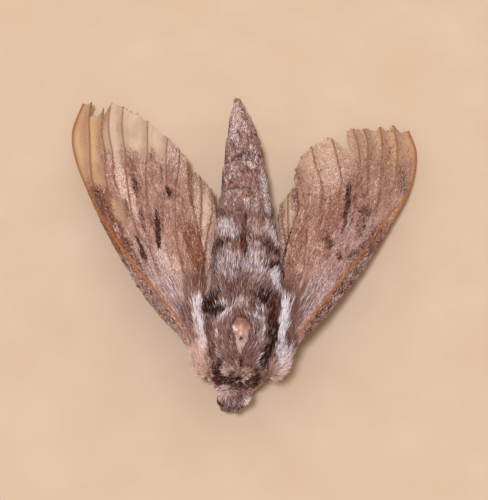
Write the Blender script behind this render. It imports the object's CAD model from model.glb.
"""A worn grey-brown hawk moth, life size: the looks of a still model that stands on its six feet.

Sizes are in millimetres in the moth's own axes: the head points to -Y, the tip of the abdomen to +Y,
+Z is up and +X is the moth's left. A mesh keeps them until Bench puts it in the shared frame, in metres.
"""

import logging
import math
from dataclasses import asdict, dataclass, field
from enum import Enum
from typing import Callable, ClassVar, Iterable, Sequence

import bpy
import numpy as np
from mathutils import Matrix, Vector


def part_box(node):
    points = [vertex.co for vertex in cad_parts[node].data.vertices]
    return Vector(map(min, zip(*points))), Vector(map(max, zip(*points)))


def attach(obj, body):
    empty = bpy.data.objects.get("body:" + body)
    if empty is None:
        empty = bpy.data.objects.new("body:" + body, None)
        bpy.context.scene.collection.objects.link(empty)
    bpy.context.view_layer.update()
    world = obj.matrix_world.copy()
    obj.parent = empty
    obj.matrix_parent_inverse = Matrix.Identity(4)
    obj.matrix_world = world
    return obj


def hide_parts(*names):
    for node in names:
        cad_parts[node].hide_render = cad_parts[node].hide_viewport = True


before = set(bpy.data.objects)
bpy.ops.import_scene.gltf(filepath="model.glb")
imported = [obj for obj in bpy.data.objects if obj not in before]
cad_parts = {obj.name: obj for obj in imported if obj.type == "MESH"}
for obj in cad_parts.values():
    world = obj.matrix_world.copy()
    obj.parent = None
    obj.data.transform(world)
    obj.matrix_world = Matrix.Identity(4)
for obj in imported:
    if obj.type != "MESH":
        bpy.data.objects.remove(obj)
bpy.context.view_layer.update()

LOG = logging.getLogger("hawk_moth")
MM = 0.001
BAKE_MAP = "OFBake"
PATCH = 0.003  # width of one tuft's patch on its unwrap
UP = np.array([0.0, 0.0, 1.0])
WING_LENGTH, WING_WIDTH = 34.0, 16.0  # rough size of a wing, for its patterns
GENTLE = 1.1  # least softness of a mark on a wing

Array = np.ndarray
Material, Mesh, Node, Object = bpy.types.Material, bpy.types.Mesh, bpy.types.Node, bpy.types.Object
Socket, Tree = bpy.types.NodeSocket, bpy.types.NodeTree
Colour = tuple[float, float, float, float]
Plan = tuple[float, float]
Place = tuple[float, float, float]


class Slot(Enum):
    """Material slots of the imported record."""

    COAT = "coat"
    WING = "wing"
    EYE = "eye"
    CUTICLE = "cuticle"


class Side(Enum):
    """The moth's own right and left, as the sign of X."""

    RIGHT = -1
    LEFT = 1

    @property
    def word(self) -> str:
        """Name of the side as the frame's nodes spell it."""
        return self.name.lower()


class Channel(Enum):
    """Masks that the skin, the coat and the wings carry from marking to finish."""

    DARK = "dark"
    PALE = "pale"
    WARM = "warm"
    COOL = "cool"
    BARE = "bare"


Masks = dict[Channel, Array]
Looks = dict[str, Material]


def srgb(red: int, green: int, blue: int) -> Colour:
    """Linear colour of an 8-bit display colour."""
    linear = [c / 255 / 12.92 if c <= 10 else ((c / 255 + 0.055) / 1.055) ** 2.4 for c in (red, green, blue)]
    return (linear[0], linear[1], linear[2], 1.0)


def ease(value: Array) -> Array:
    """Smooth rise from 0 to 1."""
    t = np.clip(value, 0.0, 1.0)
    return t * t * (3.0 - 2.0 * t)


def unit(vectors: Array) -> Array:
    """Vectors scaled to length 1."""
    return vectors / np.maximum(np.linalg.norm(vectors, axis=-1, keepdims=True), 1e-9)


class Mottle:
    """Seeded smooth noise in space."""

    def __init__(self, seed: int, cell: Place) -> None:
        """Fill the lattice from a seed, with one cell's size along each axis."""
        self.table = np.random.default_rng(seed).uniform(-1.0, 1.0, (32, 32, 32))
        self.cell = np.array(cell)

    def __call__(self, points: Array) -> Array:
        """Noise from -1 to 1 at each point.

        Args:
            points: The points.

        Returns:
            One number for each.
        """
        scaled = points / self.cell
        low = np.floor(scaled).astype(int)
        part = scaled - low
        part = part * part * (3.0 - 2.0 * part)
        total = np.zeros(len(points))
        for corner in np.ndindex(2, 2, 2):
            index = (low + corner) % 32
            weight = np.prod(np.where(corner, part, 1.0 - part), axis=1)
            total += weight * self.table[index[:, 0], index[:, 1], index[:, 2]]
        return total


class Path:
    """A smooth line through chosen places, walked by its length."""

    def __init__(self, places: Sequence[Sequence[float]], detail: int = 200) -> None:
        """Sample the line finely.

        Args:
            places: Points the line passes through.
            detail: Samples between two neighbouring points.
        """
        p = np.asarray(places, float)
        ends = np.vstack([2 * p[0] - p[1], p, 2 * p[-1] - p[-2]])
        spans = len(p) - 1
        u = np.linspace(0, spans, detail * spans + 1)
        k = np.minimum(u.astype(int), spans - 1)
        t = (u - k)[:, None]
        a, b, c, d = ends[k], ends[k + 1], ends[k + 2], ends[k + 3]
        bend, twist = 2 * a - 5 * b + 4 * c - d, 3 * b - a - 3 * c + d
        self.samples = 0.5 * (2 * b + (c - a) * t + bend * t**2 + twist * t**3)
        steps = np.linalg.norm(np.diff(self.samples, axis=0), axis=1)
        walked = np.concatenate([[0.0], np.cumsum(steps)])
        self.length = walked[-1]
        self.walked = walked / self.length

    def at(self, t: Array | float) -> Array:
        """Places at fractions t of the line's length."""
        return np.stack([np.interp(t, self.walked, column) for column in self.samples.T], axis=-1)

    def across(self, value: Array, key: int) -> Array:
        """Places where the line's coordinate `key` has the given value, on a line that only rises in it."""
        known = self.samples[:, key]
        return np.stack([np.interp(value, known, column) for column in self.samples.T], axis=-1)


# ---- meshes


@dataclass
class Shell:
    """Points and faces of a closed or open surface."""

    points: Array
    faces: list[tuple[int, ...]]

    def __add__(self, other: "Shell") -> "Shell":
        """Both surfaces in one."""
        moved = [tuple(i + len(self.points) for i in face) for face in other.faces]
        return Shell(np.vstack([self.points, other.points]), self.faces + moved)

    def mesh(self, name: str, smooth: bool = True) -> Mesh:
        """The surface as a mesh with its faces turned outwards by its makers.

        Args:
            name: Its name.
            smooth: Whether it is shaded smooth.

        Returns:
            The mesh.
        """
        mesh = bpy.data.meshes.new(name)
        mesh.from_pydata([tuple(p) for p in self.points], [], self.faces)
        mesh.polygons.foreach_set("use_smooth", [smooth] * len(mesh.polygons))
        mesh.update()
        return mesh

    def outward(self) -> "Shell":
        """The closed surface with its faces turned outwards.

        Returns:
            This surface, or its mirror in the order of corners.
        """
        volume = 0.0
        for face in self.faces:
            a = self.points[face[0]]
            for b, c in zip(face[1:-1], face[2:]):
                volume += float(np.dot(a, np.cross(self.points[b], self.points[c])))
        return self if volume > 0 else Shell(self.points, [face[::-1] for face in self.faces])


def loft(rings: Array) -> Shell:
    """Closed surface through rings of equal point count, with a fan over each end.

    Args:
        rings: Points, shaped rings x sides x 3.

    Returns:
        The surface, facing outwards.
    """
    count, sides = rings.shape[:2]
    points = np.vstack([rings.reshape(-1, 3), rings[0].mean(0), rings[-1].mean(0)])
    faces: list[tuple[int, ...]] = []
    for r in range(count - 1):
        for s in range(sides):
            a, b = r * sides + s, r * sides + (s + 1) % sides
            faces.append((a, b, b + sides, a + sides))
    for s in range(sides):
        after = (s + 1) % sides
        faces.append((after, s, count * sides))
        faces.append(((count - 1) * sides + s, (count - 1) * sides + after, count * sides + 1))
    return Shell(points, faces).outward()


def tube(line: Array, radii: Array, sides: int = 12, flat: float = 1.0) -> Shell:
    """Round limb of changing thickness along a line.

    Args:
        line: Points along its middle.
        radii: Half width at each of them.
        sides: Corners of a cross-section.
        flat: Height of a cross-section over its width.

    Returns:
        The closed limb.
    """
    along = unit(np.gradient(line, axis=0))
    side = unit(np.cross(along, UP))
    over = np.cross(side, along)
    angles = np.linspace(0, 2 * math.pi, sides, endpoint=False)
    wide = np.cos(angles)[None, :, None] * side[:, None, :]
    high = np.sin(angles)[None, :, None] * over[:, None, :] * flat
    return loft(line[:, None, :] + radii[:, None, None] * (wide + high))


def limb(line: Array, radii: Array, sides: int = 12, flat: float = 1.0) -> tuple[Shell, Array]:
    """A round limb, and the direction in which it runs at each of its points.

    Args:
        line: Points along its middle.
        radii: Half width at each of them.
        sides: Corners of a cross-section.
        flat: Height of a cross-section over its width.

    Returns:
        The limb and its directions.
    """
    along = unit(np.gradient(line, axis=0))
    directions = np.vstack([np.repeat(along, sides, axis=0), along[:1], along[-1:]])
    return tube(line, radii, sides, flat), directions


def ellipsoid(
    centre: Sequence[float], half: Sequence[float], turn: Array | None = None, rows: int = 40
) -> Shell:
    """Closed ellipsoid about a centre, turned by a 3 x 3 matrix.

    Args:
        centre: Its middle.
        half: Half its size along each axis.
        turn: The matrix, if it is turned.
        rows: Rings of points from pole to pole.

    Returns:
        The surface, facing outwards.
    """
    polar = np.linspace(0.02, math.pi - 0.02, rows)
    angles = np.linspace(0, 2 * math.pi, 2 * rows, endpoint=False)
    rings = np.stack(
        [
            np.sin(polar)[:, None] * np.cos(angles)[None, :],
            np.sin(polar)[:, None] * np.sin(angles)[None, :],
            np.repeat(np.cos(polar)[:, None], 2 * rows, axis=1),
        ],
        axis=-1,
    )
    rings = rings * np.asarray(half)
    if turn is not None:
        rings = rings @ turn.T
    return loft(rings + np.asarray(centre))


def read_vectors(items: Sequence, key: str) -> Array:
    """Vectors kept on a part of a mesh.

    Args:
        items: The part.
        key: Name of the vector on each of its items.

    Returns:
        The vectors, one to a row.
    """
    flat = np.empty(len(items) * 3, np.float32)
    items.foreach_get(key, flat)
    return flat.reshape(-1, 3).astype(float)


def points_of(mesh: Mesh) -> Array:
    """Vertex places of a mesh."""
    return read_vectors(mesh.vertices, "co")


def normals_of(mesh: Mesh) -> Array:
    """Vertex normals of a mesh."""
    return read_vectors(mesh.vertex_normals, "vector")


def move_points(mesh: Mesh, points: Array) -> None:
    """Put the vertices of a mesh at new places."""
    mesh.vertices.foreach_set("co", points.astype(np.float32).ravel())
    mesh.update()


def write_field(mesh: Mesh, name: str, values: Array) -> None:
    """Keep numbers or vectors on the vertices of a mesh, over any earlier ones of that name.

    Args:
        mesh: The mesh.
        name: Their name.
        values: A row for each vertex.
    """
    if name in mesh.attributes:
        mesh.attributes.remove(mesh.attributes[name])
    vector = values.ndim == 2
    layer = mesh.attributes.new(name, "FLOAT_VECTOR" if vector else "FLOAT", "POINT")
    layer.data.foreach_set("vector" if vector else "value", values.astype(np.float32).ravel())


def write_unwrap(mesh: Mesh, places: Array, wraps: bool = False) -> None:
    """Keep an unwrap of the surface as a UV map.

    Args:
        mesh: The surface.
        places: Its place on the unwrap for each vertex, from 0 to 1.
        wraps: Whether the first coordinate goes round, so that a face over its seam passes 1.
    """
    corners = np.empty(len(mesh.loops), np.int32)
    mesh.loops.foreach_get("vertex_index", corners)
    uv = places[corners].copy()
    if wraps:
        totals = np.empty(len(mesh.polygons), np.int32)
        mesh.polygons.foreach_get("loop_total", totals)
        owner = np.repeat(np.arange(len(totals)), totals)
        high = np.zeros(len(totals))
        np.maximum.at(high, owner, uv[:, 0])
        uv[(high[owner] - uv[:, 0]) > 0.5, 0] += 1.0
    layer = mesh.uv_layers.new(name="unwrap")
    layer.data.foreach_set("uv", uv.astype(np.float32).ravel())


class Bench:
    """Puts finished meshes in the shared frame and registers them as pieces."""

    def __init__(self, shift: Array) -> None:
        """Remember where the moth's own axes lie in the shared frame, in millimetres."""
        self.to_frame = Matrix.Scale(MM, 4) @ Matrix.Translation(Vector(shift))

    def finish(
        self,
        name: str,
        mesh: Mesh,
        slot: Slot,
        finish: Material | None = None,
        nodes: Iterable[str] = (),
    ) -> Object:
        """Make a piece of a mesh.

        Args:
            name: Name of the piece.
            mesh: Its mesh, in millimetres.
            slot: Slot that it takes its plain finish from.
            finish: Its material, unless the mesh has it already.
            nodes: Nodes of the frame that it stands for.

        Returns:
            The piece, riding on the one body.
        """
        mesh.transform(self.to_frame)
        mesh.name = name
        if finish is not None:
            mesh.materials.clear()
            mesh.materials.append(finish)
        piece = placed(name, mesh)
        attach(piece, "root")
        names = list(nodes)
        if names:
            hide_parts(*names)
        mesh.calc_loop_triangles()
        LOG.info("%s: %d triangles", name, len(mesh.loop_triangles))
        return piece


# ---- node graphs


class Graph:
    """Adds nodes to a tree and links their sockets in one call each."""

    def __init__(self, tree: Tree) -> None:
        """Work on the given tree."""
        self.tree = tree

    def add(self, kind: str, inputs: dict | None = None, **settings: object) -> Node:
        """Add a node.

        Args:
            kind: Its type.
            inputs: Values or sockets by the name or number of its inputs.
            settings: Its own properties.

        Returns:
            The node.
        """
        node = self.tree.nodes.new(kind)
        for key, value in settings.items():
            setattr(node, key, value)
        for key, value in (inputs or {}).items():
            if isinstance(value, Socket):
                self.tree.links.new(value, node.inputs[key])
            else:
                node.inputs[key].default_value = value
        return node

    def math(self, operation: str, first: object, second: object = 0.0, third: object = 0.0) -> Socket:
        """Result of a sum on one, two or three numbers."""
        return self.add("ShaderNodeMath", {0: first, 1: second, 2: third}, operation=operation).outputs[0]

    def times(self, first: object, second: object) -> Socket:
        """Product of two numbers."""
        return self.math("MULTIPLY", first, second)

    def plus(self, first: object, second: object) -> Socket:
        """Sum of two numbers."""
        return self.math("ADD", first, second)

    def minus(self, first: object, second: object) -> Socket:
        """One number less another."""
        return self.math("SUBTRACT", first, second)

    def vector(self, operation: str, first: object, second: object) -> Socket:
        """Result of a sum on two vectors."""
        return self.add("ShaderNodeVectorMath", {0: first, 1: second}, operation=operation).outputs[0]

    def scaled(self, vector: object, factor: object) -> Socket:
        """A vector times a number."""
        return self.add("ShaderNodeVectorMath", {0: vector, "Scale": factor}, operation="SCALE").outputs[0]

    def mix(self, first: object, second: object, factor: object, blend: str = "MIX") -> Socket:
        """A colour between two colours."""
        node = self.add("ShaderNodeMix", {0: factor, 6: first, 7: second}, data_type="RGBA", blend_type=blend)
        return node.outputs[2]

    def remap(self, value: object, low: float, high: float, to_low: float, to_high: float) -> Socket:
        """A number taken from one range to another, held at its ends."""
        inputs = {"Value": value, "From Min": low, "From Max": high, "To Min": to_low, "To Max": to_high}
        return self.add("ShaderNodeMapRange", inputs).outputs[0]

    def mask(self, name: str) -> Socket:
        """A number kept on the surface under a name."""
        return self.add("ShaderNodeAttribute", attribute_name=name).outputs["Fac"]


class Blade(Enum):
    """Shapes of one tuft."""

    HAIR = "hair"
    SCALE = "scale"


@dataclass(frozen=True)
class Spike:
    """One closed, keeled and tapering blade, by its cross-sections."""

    sections: tuple[Place, ...]  # along, half width, height of the middle
    keel: float

    def shell(self) -> tuple[Shell, Array]:
        """Make the blade, a unit long along Y.

        Returns:
            The blade and, for each corner of its faces, its place on a patch of its own.
        """
        points = [(0.0, 0.0, 0.0)]
        for along, half, height in self.sections:
            points += [(-half, along, height), (0.0, along, height + self.keel), (half, along, height)]
        points.append((0.0, 1.0, self.sections[-1][2] * 0.6))
        faces, uv = [], []
        last = len(points) - 1
        first, final = self.sections[0][0], self.sections[-1][0]
        end = 3 * (len(self.sections) - 1)
        for k in range(3):
            left, right = k / 3, (k + 1) / 3
            middle = (left + right) / 2
            one, two = 1 + k, 1 + (k + 1) % 3
            faces.append((0, two, one))
            uv += [(middle, 0.0), (right, first), (left, first)]
            for s in range(len(self.sections) - 1):
                a, b = 3 * s + one, 3 * s + two
                low, high = self.sections[s][0], self.sections[s + 1][0]
                faces += [(a, b, b + 3), (a, b + 3, a + 3)]
                uv += [(left, low), (right, low), (right, high), (left, low), (right, high), (left, high)]
            faces.append((end + one, end + two, last))
            uv += [(left, final), (right, final), (middle, 1.0)]
        return Shell(np.array(points), faces), np.array(uv)


HAIR, SCALE = Blade.HAIR, Blade.SCALE
SPIKES: dict[Blade, Spike] = {
    HAIR: Spike(((0.3, 0.5, 0.1), (0.72, 0.38, 0.16)), 0.3),
    SCALE: Spike(((0.55, 0.5, 0.06),), 0.12),
}


def placed(name: str, data: bpy.types.ID) -> Object:
    """Put some data in the scene.

    Args:
        name: Name of the object.
        data: Its mesh, lamp or camera.

    Returns:
        The object.
    """
    thing = bpy.data.objects.new(name, data)
    bpy.context.scene.collection.objects.link(thing)
    return thing


def tuft_object(kind: Blade) -> Object:
    """Model one tuft, a unit long along Y, with its height along Z and its own patch map.

    Args:
        kind: Its shape.

    Returns:
        The model.
    """
    shell, uv = SPIKES[kind].shell()
    mesh = shell.mesh(f"tuft_{kind.value}", smooth=False)
    layer = mesh.uv_layers.new(name="local")
    layer.data.foreach_set("uv", (uv * (0.94, 1.0)).astype(np.float32).ravel())
    write_field(mesh, "along", points_of(mesh)[:, 1])
    return placed(mesh.name, mesh)


def open_tree(
    kind: str, name: str, inputs: dict[str, str], outputs: dict[str, str]
) -> tuple[Tree, Graph, object]:
    """Start a node group with named inputs and outputs.

    Args:
        kind: "Geometry" or "Shader".
        name: Name of the group.
        inputs: Type of each input by its name.
        outputs: Type of each output by its name.

    Returns:
        The group, a graph on it and what its inputs give.
    """
    tree = bpy.data.node_groups.new(name, f"{kind}NodeTree")
    for way, sockets in (("INPUT", inputs), ("OUTPUT", outputs)):
        for socket, given in sockets.items():
            tree.interface.new_socket(socket, in_out=way, socket_type=f"NodeSocket{given}")
    graph = Graph(tree)
    return tree, graph, graph.add("NodeGroupInput").outputs


def run_tree(carrier: Object, tree: Tree, values: dict[str, object]) -> Mesh:
    """Plain mesh of what a geometry tree makes of an object.

    Args:
        carrier: The object the tree works on, left as it was.
        tree: The tree.
        values: Its inputs by name.

    Returns:
        The mesh.
    """
    modifier = carrier.modifiers.new(tree.name, "NODES")
    modifier.node_group = tree
    sockets = {s.name: s.identifier for s in tree.interface.items_tree if s.in_out == "INPUT"}
    for name, value in values.items():
        modifier[sockets[name]] = value
    evaluated = carrier.evaluated_get(bpy.context.evaluated_depsgraph_get())
    mesh = bpy.data.meshes.new_from_object(evaluated)
    carrier.modifiers.remove(modifier)
    return mesh


def coat_tree() -> Tree:
    """Geometry tree that grows tufts on a surface, along its `lie`, where its `cover` says.

    Returns:
        The tree, with an input for each size.
    """
    sizes = ("Density", "Length", "Width", "Height", "Lift", "Stray", "Swirl", "Swirl Scale", "Patch")
    inputs = {"Geometry": "Geometry", "Tuft": "Object", "Seed": "Int", "Finish": "Material"}
    inputs |= dict.fromkeys(sizes, "Float")
    tree, g, given = open_tree("Geometry", "coat", inputs, {"Geometry": "Geometry"})

    def named(name: str, kind: str = "FLOAT") -> Socket:
        """A field kept on the surface."""
        return g.add("GeometryNodeInputNamedAttribute", {"Name": name}, data_type=kind).outputs[0]

    def chance(low: float, high: float, seed_step: int) -> Socket:
        """A random number for each tuft."""
        inputs = {2: low, 3: high, "Seed": g.plus(given["Seed"], float(seed_step))}
        return g.add("FunctionNodeRandomValue", inputs, data_type="FLOAT").outputs[1]

    density = g.times(named("cover"), given["Density"])
    scatter = g.add(
        "GeometryNodeDistributePointsOnFaces",
        {"Mesh": given["Geometry"], "Density": density, "Seed": given["Seed"]},
    )
    aim = g.add(
        "FunctionNodeAxesToRotation",
        {"Primary Axis": scatter.outputs["Normal"], "Secondary Axis": named("lie", "FLOAT_VECTOR")},
        primary_axis="Z",
        secondary_axis="Y",
    )
    noise = g.add("ShaderNodeTexNoise", {"Scale": given["Swirl Scale"], "Detail": 1.0})
    eddy = g.times(g.minus(noise.outputs[0], 0.5), given["Swirl"])
    turn = g.plus(g.times(chance(-1.0, 1.0, 1), given["Stray"]), eddy)
    rise = g.times(g.times(given["Lift"], chance(0.3, 1.7, 2)), named("rise"))
    roll = g.times(chance(-0.6, 0.6, 3), 1.0)
    lean = g.add("ShaderNodeCombineXYZ", {0: rise, 1: roll, 2: turn})
    lean_turn = g.add("FunctionNodeEulerToRotation", {0: lean.outputs[0]})
    facing = g.add(
        "FunctionNodeRotateRotation",
        {"Rotation": aim.outputs[0], "Rotate By": lean_turn.outputs[0]},
        rotation_space="LOCAL",
    )
    reach = g.times(g.times(named("reach"), given["Length"]), chance(0.65, 1.3, 4))
    width = g.times(given["Width"], chance(0.7, 1.3, 5))
    size = g.add("ShaderNodeCombineXYZ", {0: width, 1: reach, 2: given["Height"]})
    model = g.add("GeometryNodeObjectInfo", {"Object": given["Tuft"]}, transform_space="ORIGINAL")
    planted = g.add(
        "GeometryNodeInstanceOnPoints",
        {
            "Points": scatter.outputs["Points"],
            "Instance": model.outputs["Geometry"],
            "Rotation": facing.outputs[0],
            "Scale": size.outputs[0],
        },
    )
    toned = g.add(
        "GeometryNodeStoreNamedAttribute",
        {"Geometry": planted.outputs[0], "Name": "tone", "Value": chance(0.0, 1.0, 6)},
        data_type="FLOAT",
        domain="INSTANCE",
    )
    real = g.add("GeometryNodeRealizeInstances", {"Geometry": toned.outputs[0]})
    folded = g.vector("FRACTION", named("unwrap", "FLOAT_VECTOR"), (0.0, 0.0, 0.0))
    room = g.minus(1.0, given["Patch"])
    root = g.scaled(folded, room)
    patch = g.scaled(named("local", "FLOAT_VECTOR"), given["Patch"])
    mapped = g.add(
        "GeometryNodeStoreNamedAttribute",
        {"Geometry": real.outputs[0], "Name": BAKE_MAP, "Value": g.vector("ADD", root, patch)},
        data_type="FLOAT2",
        domain="CORNER",
    )
    result = mapped.outputs[0]
    for name in ("unwrap", "local", "lie", "reach", "rise", "cover"):
        result = g.add("GeometryNodeRemoveAttribute", {"Geometry": result, "Name": name}).outputs[0]
    dressed = g.add("GeometryNodeSetMaterial", {"Geometry": result, "Material": given["Finish"]})
    g.add("NodeGroupOutput", {"Geometry": dressed.outputs[0]})
    return tree


POINTS_TO_A_RING = 4.0


def ringed_tree() -> Tree:
    """Geometry tree that makes a ringed, tapering shaft along a line of edges.

    Returns:
        The tree, with an input for each size.
    """
    inputs = {"Geometry": "Geometry", "Rings": "Int", "Sides": "Int", "Finish": "Material"}
    inputs |= dict.fromkeys(("Shaft", "Tip", "Taper", "Groove"), "Float")
    tree, g, given = open_tree("Geometry", "ringed_shaft", inputs, {"Geometry": "Geometry"})
    line = g.add("GeometryNodeMeshToCurve", {"Mesh": given["Geometry"]})
    count = g.times(given["Rings"], POINTS_TO_A_RING)
    even = g.add("GeometryNodeResampleCurve", {"Curve": line.outputs[0], "Count": count})
    place = g.add("GeometryNodeSplineParameter").outputs["Factor"]
    thin = g.math("POWER", place, given["Taper"])
    drop = g.times(g.minus(given["Tip"], given["Shaft"]), thin)
    smooth = g.plus(given["Shaft"], drop)
    beat = g.math("FRACT", g.times(place, given["Rings"]))
    wave = g.times(g.minus(beat, 0.5), given["Groove"])
    radius = g.times(smooth, g.plus(wave, 1.0))
    circle = g.add("GeometryNodeCurvePrimitiveCircle", {"Resolution": given["Sides"], "Radius": 1.0})
    body = g.add(
        "GeometryNodeCurveToMesh",
        {"Curve": even.outputs[0], "Profile Curve": circle.outputs[0], "Scale": radius, "Fill Caps": True},
    )
    real = g.add("GeometryNodeRealizeInstances", {"Geometry": body.outputs[0]})
    dressed = g.add("GeometryNodeSetMaterial", {"Geometry": real.outputs[0], "Material": given["Finish"]})
    g.add("NodeGroupOutput", {"Geometry": dressed.outputs[0]})
    return tree


# ---- finishes


def markings_group() -> Tree:
    """Shader group of the markings: a tuft takes a mark's colour by chance, as likely as its mask is strong.

    Returns:
        The group.
    """
    inputs = dict.fromkeys(("Ground", "Dark", "Pale", "Warm", "Cool"), "Color")
    inputs |= dict.fromkeys(("Tone", "Contrast", "Draw"), "Float")
    tree, g, given = open_tree("Shader", "markings", inputs, {"Color": "Color"})
    centred = g.times(g.minus(given["Tone"], 0.5), given["Contrast"])
    colour = g.scaled(given["Ground"], g.plus(centred, 1.0))
    for step, channel in enumerate((Channel.WARM, Channel.DARK, Channel.PALE, Channel.COOL)):
        light = channel in (Channel.PALE, Channel.COOL)
        gain = g.math("MULTIPLY_ADD", centred, 0.5 if light else 1.0, 1.04 if light else 1.0)
        draw = g.math("FRACT", g.times(given["Draw"], 7.3 + 5.1 * step))
        chance = g.times(g.minus(draw, 0.5), 0.64)
        share = g.remap(g.plus(g.mask(channel.value), chance), 0.22, 0.78, 0.0, 1.0)
        colour = g.mix(colour, g.scaled(given[channel.value.capitalize()], gain), share)
    g.add("NodeGroupOutput", {"Color": colour})
    return tree


def grain_group() -> Tree:
    """Shader group of fine streaks along a surface: a height and a tone from its coordinates.

    Returns:
        The group.
    """
    inputs, outputs = {"Vector": "Vector", "Scale": "Float"}, {"Height": "Float", "Tone": "Float"}
    tree, g, given = open_tree("Shader", "grain", inputs, outputs)
    fine = g.add(
        "ShaderNodeTexNoise",
        {"Vector": given["Vector"], "Scale": given["Scale"], "Detail": 3.0, "Roughness": 0.6},
    )
    coarse = g.add(
        "ShaderNodeTexNoise",
        {"Vector": given["Vector"], "Scale": g.times(given["Scale"], 0.2), "Detail": 2.0},
    )
    tone = g.plus(g.times(fine.outputs[0], 0.6), g.times(coarse.outputs[0], 0.4))
    g.add("NodeGroupOutput", {"Height": fine.outputs[0], "Tone": g.remap(tone, 0.32, 0.68, 0.0, 1.0)})
    return tree


@dataclass(frozen=True)
class Finish:
    """Base of the moth's finishes: a material with its own shader and its shared groups."""

    name: str
    plain: ClassVar[dict[str, float]] = {}
    markings: ClassVar[Tree]
    grain: ClassVar[Tree]

    @classmethod
    def prepare(cls) -> None:
        """Build the groups that several finishes share."""
        cls.markings, cls.grain = markings_group(), grain_group()

    def build(self) -> Material:
        """Make the material.

        Returns:
            The material, with its plain values on the shader and its patterns linked to it.
        """
        material = bpy.data.materials.new(self.name)
        material.use_nodes = True
        material.node_tree.nodes.clear()
        g = Graph(material.node_tree)
        shader = g.add("ShaderNodeBsdfPrincipled", self.plain | self.patterns(g))
        g.add("ShaderNodeOutputMaterial", {"Surface": shader.outputs[0]})
        return material

    def patterns(self, g: Graph) -> dict[str, Socket]:
        """What feeds the shader's inputs, by their names."""
        raise NotImplementedError

    def own(self, g: Graph) -> Socket:
        """The object's own coordinates."""
        return g.add("ShaderNodeTexCoord").outputs["Object"]

    def streaks(self, g: Graph, stretch: Place, scale: float) -> Node:
        """Fine streaks in the object's own coordinates, drawn out along an axis."""
        drawn = g.add("ShaderNodeMapping", {"Vector": self.own(g), "Scale": stretch})
        return g.add("ShaderNodeGroup", {"Vector": drawn.outputs[0], "Scale": scale}, node_tree=self.grain)

    def paint(self, g: Graph, palette: "Palette", tone: object, contrast: float, draw: object) -> Socket:
        """Put the moth's markings on a surface.

        Args:
            g: The material's graph.
            palette: Their colours.
            tone: How light the surface is in its fine grain.
            contrast: How much of that shows.
            draw: A chance number that is even over each tuft or speck.

        Returns:
            The colour.
        """
        inputs = {name.capitalize(): colour for name, colour in asdict(palette).items()}
        inputs |= {"Tone": tone, "Contrast": contrast, "Draw": draw}
        return g.add("ShaderNodeGroup", inputs, node_tree=self.markings).outputs[0]

    def specks(self, g: Graph, scale: float) -> Socket:
        """A chance number for each speck of the surface."""
        return g.add("ShaderNodeTexVoronoi", {"Vector": self.own(g), "Scale": scale}).outputs["Color"]

    def bump(self, g: Graph, height: Socket, strength: float, distance: float, **settings: bool) -> Socket:
        """Normals of a fine relief."""
        inputs = {"Height": height, "Strength": strength, "Distance": distance}
        return g.add("ShaderNodeBump", inputs, **settings).outputs[0]


@dataclass(frozen=True)
class Palette:
    """Colours of a coat or wing under its markings."""

    ground: Colour
    dark: Colour
    pale: Colour
    warm: Colour
    cool: Colour


BODY_COLOURS = Palette(
    ground=srgb(150, 108, 98),
    dark=srgb(64, 27, 18),
    pale=srgb(236, 198, 180),
    warm=srgb(122, 70, 52),
    cool=srgb(254, 242, 246),
)
WING_COLOURS = Palette(
    ground=srgb(186, 138, 120),
    dark=srgb(70, 38, 32),
    pale=srgb(240, 204, 186),
    warm=srgb(142, 84, 60),
    cool=srgb(214, 198, 206),
)


@dataclass(frozen=True)
class CoatFinish(Finish):
    """Matt scales and hair, darker at the root."""

    palette: Palette
    stretch: Place = (1.0, 0.25, 0.6)
    streak_scale: float = 4200.0
    contrast: float = 1.1
    plain: ClassVar[dict[str, float]] = {"Roughness": 0.7, "Specular IOR Level": 0.06}

    def patterns(self, g: Graph) -> dict[str, Socket]:
        """What feeds the shader's inputs, by their names.

        Args:
            g: The material's graph.

        Returns:
            The sockets by the names of the inputs.
        """
        clumps = self.streaks(g, self.stretch, self.streak_scale)
        tone = g.plus(g.times(g.mask("tone"), 0.45), g.times(clumps.outputs["Tone"], 0.55))
        colour = self.paint(g, self.palette, tone, self.contrast, g.mask("tone"))
        shade = g.remap(g.mask("along"), 0.0, 0.55, 0.32, 1.1)
        return {"Base Color": g.scaled(colour, shade)}


@dataclass(frozen=True)
class SkinFinish(Finish):
    """Skin under the coat: the same markings in short fur, and bare copper where it is rubbed."""

    palette: Palette
    plain: ClassVar[dict[str, float]] = {"Specular IOR Level": 0.45}

    def patterns(self, g: Graph) -> dict[str, Socket]:
        """What feeds the shader's inputs, by their names.

        Args:
            g: The material's graph.

        Returns:
            The sockets by the names of the inputs.
        """
        fur = self.streaks(g, (1.0, 0.25, 1.0), 9000.0)
        coated = self.paint(g, self.palette, fur.outputs["Tone"], 0.8, self.specks(g, 7000.0))
        bare = g.mask(Channel.BARE.value)
        polish = self.streaks(g, (1.0, 0.7, 1.0), 2600.0)
        copper = g.mix(srgb(150, 88, 66), srgb(242, 182, 158), polish.outputs["Tone"])
        copper = g.mix(copper, srgb(136, 94, 78), g.mask(Channel.WARM.value))
        tan = g.mix(srgb(164, 118, 98), srgb(232, 198, 180), fur.outputs["Tone"])
        copper = g.mix(copper, tan, g.mask(Channel.PALE.value))
        copper = g.mix(copper, self.palette.dark, g.mask(Channel.DARK.value))
        copper = g.mix(copper, self.palette.cool, g.mask(Channel.COOL.value))
        under = g.scaled(coated, 0.45)
        rough = g.mix((0.8, 0.8, 0.8, 1.0), (0.22, 0.22, 0.22, 1.0), bare)
        rise = g.plus(fur.outputs["Height"], g.times(polish.outputs["Height"], 3.0))
        normal = self.bump(g, rise, 0.8, 0.0001)
        return {"Base Color": g.mix(under, copper, bare), "Roughness": rough, "Normal": normal}


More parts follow.
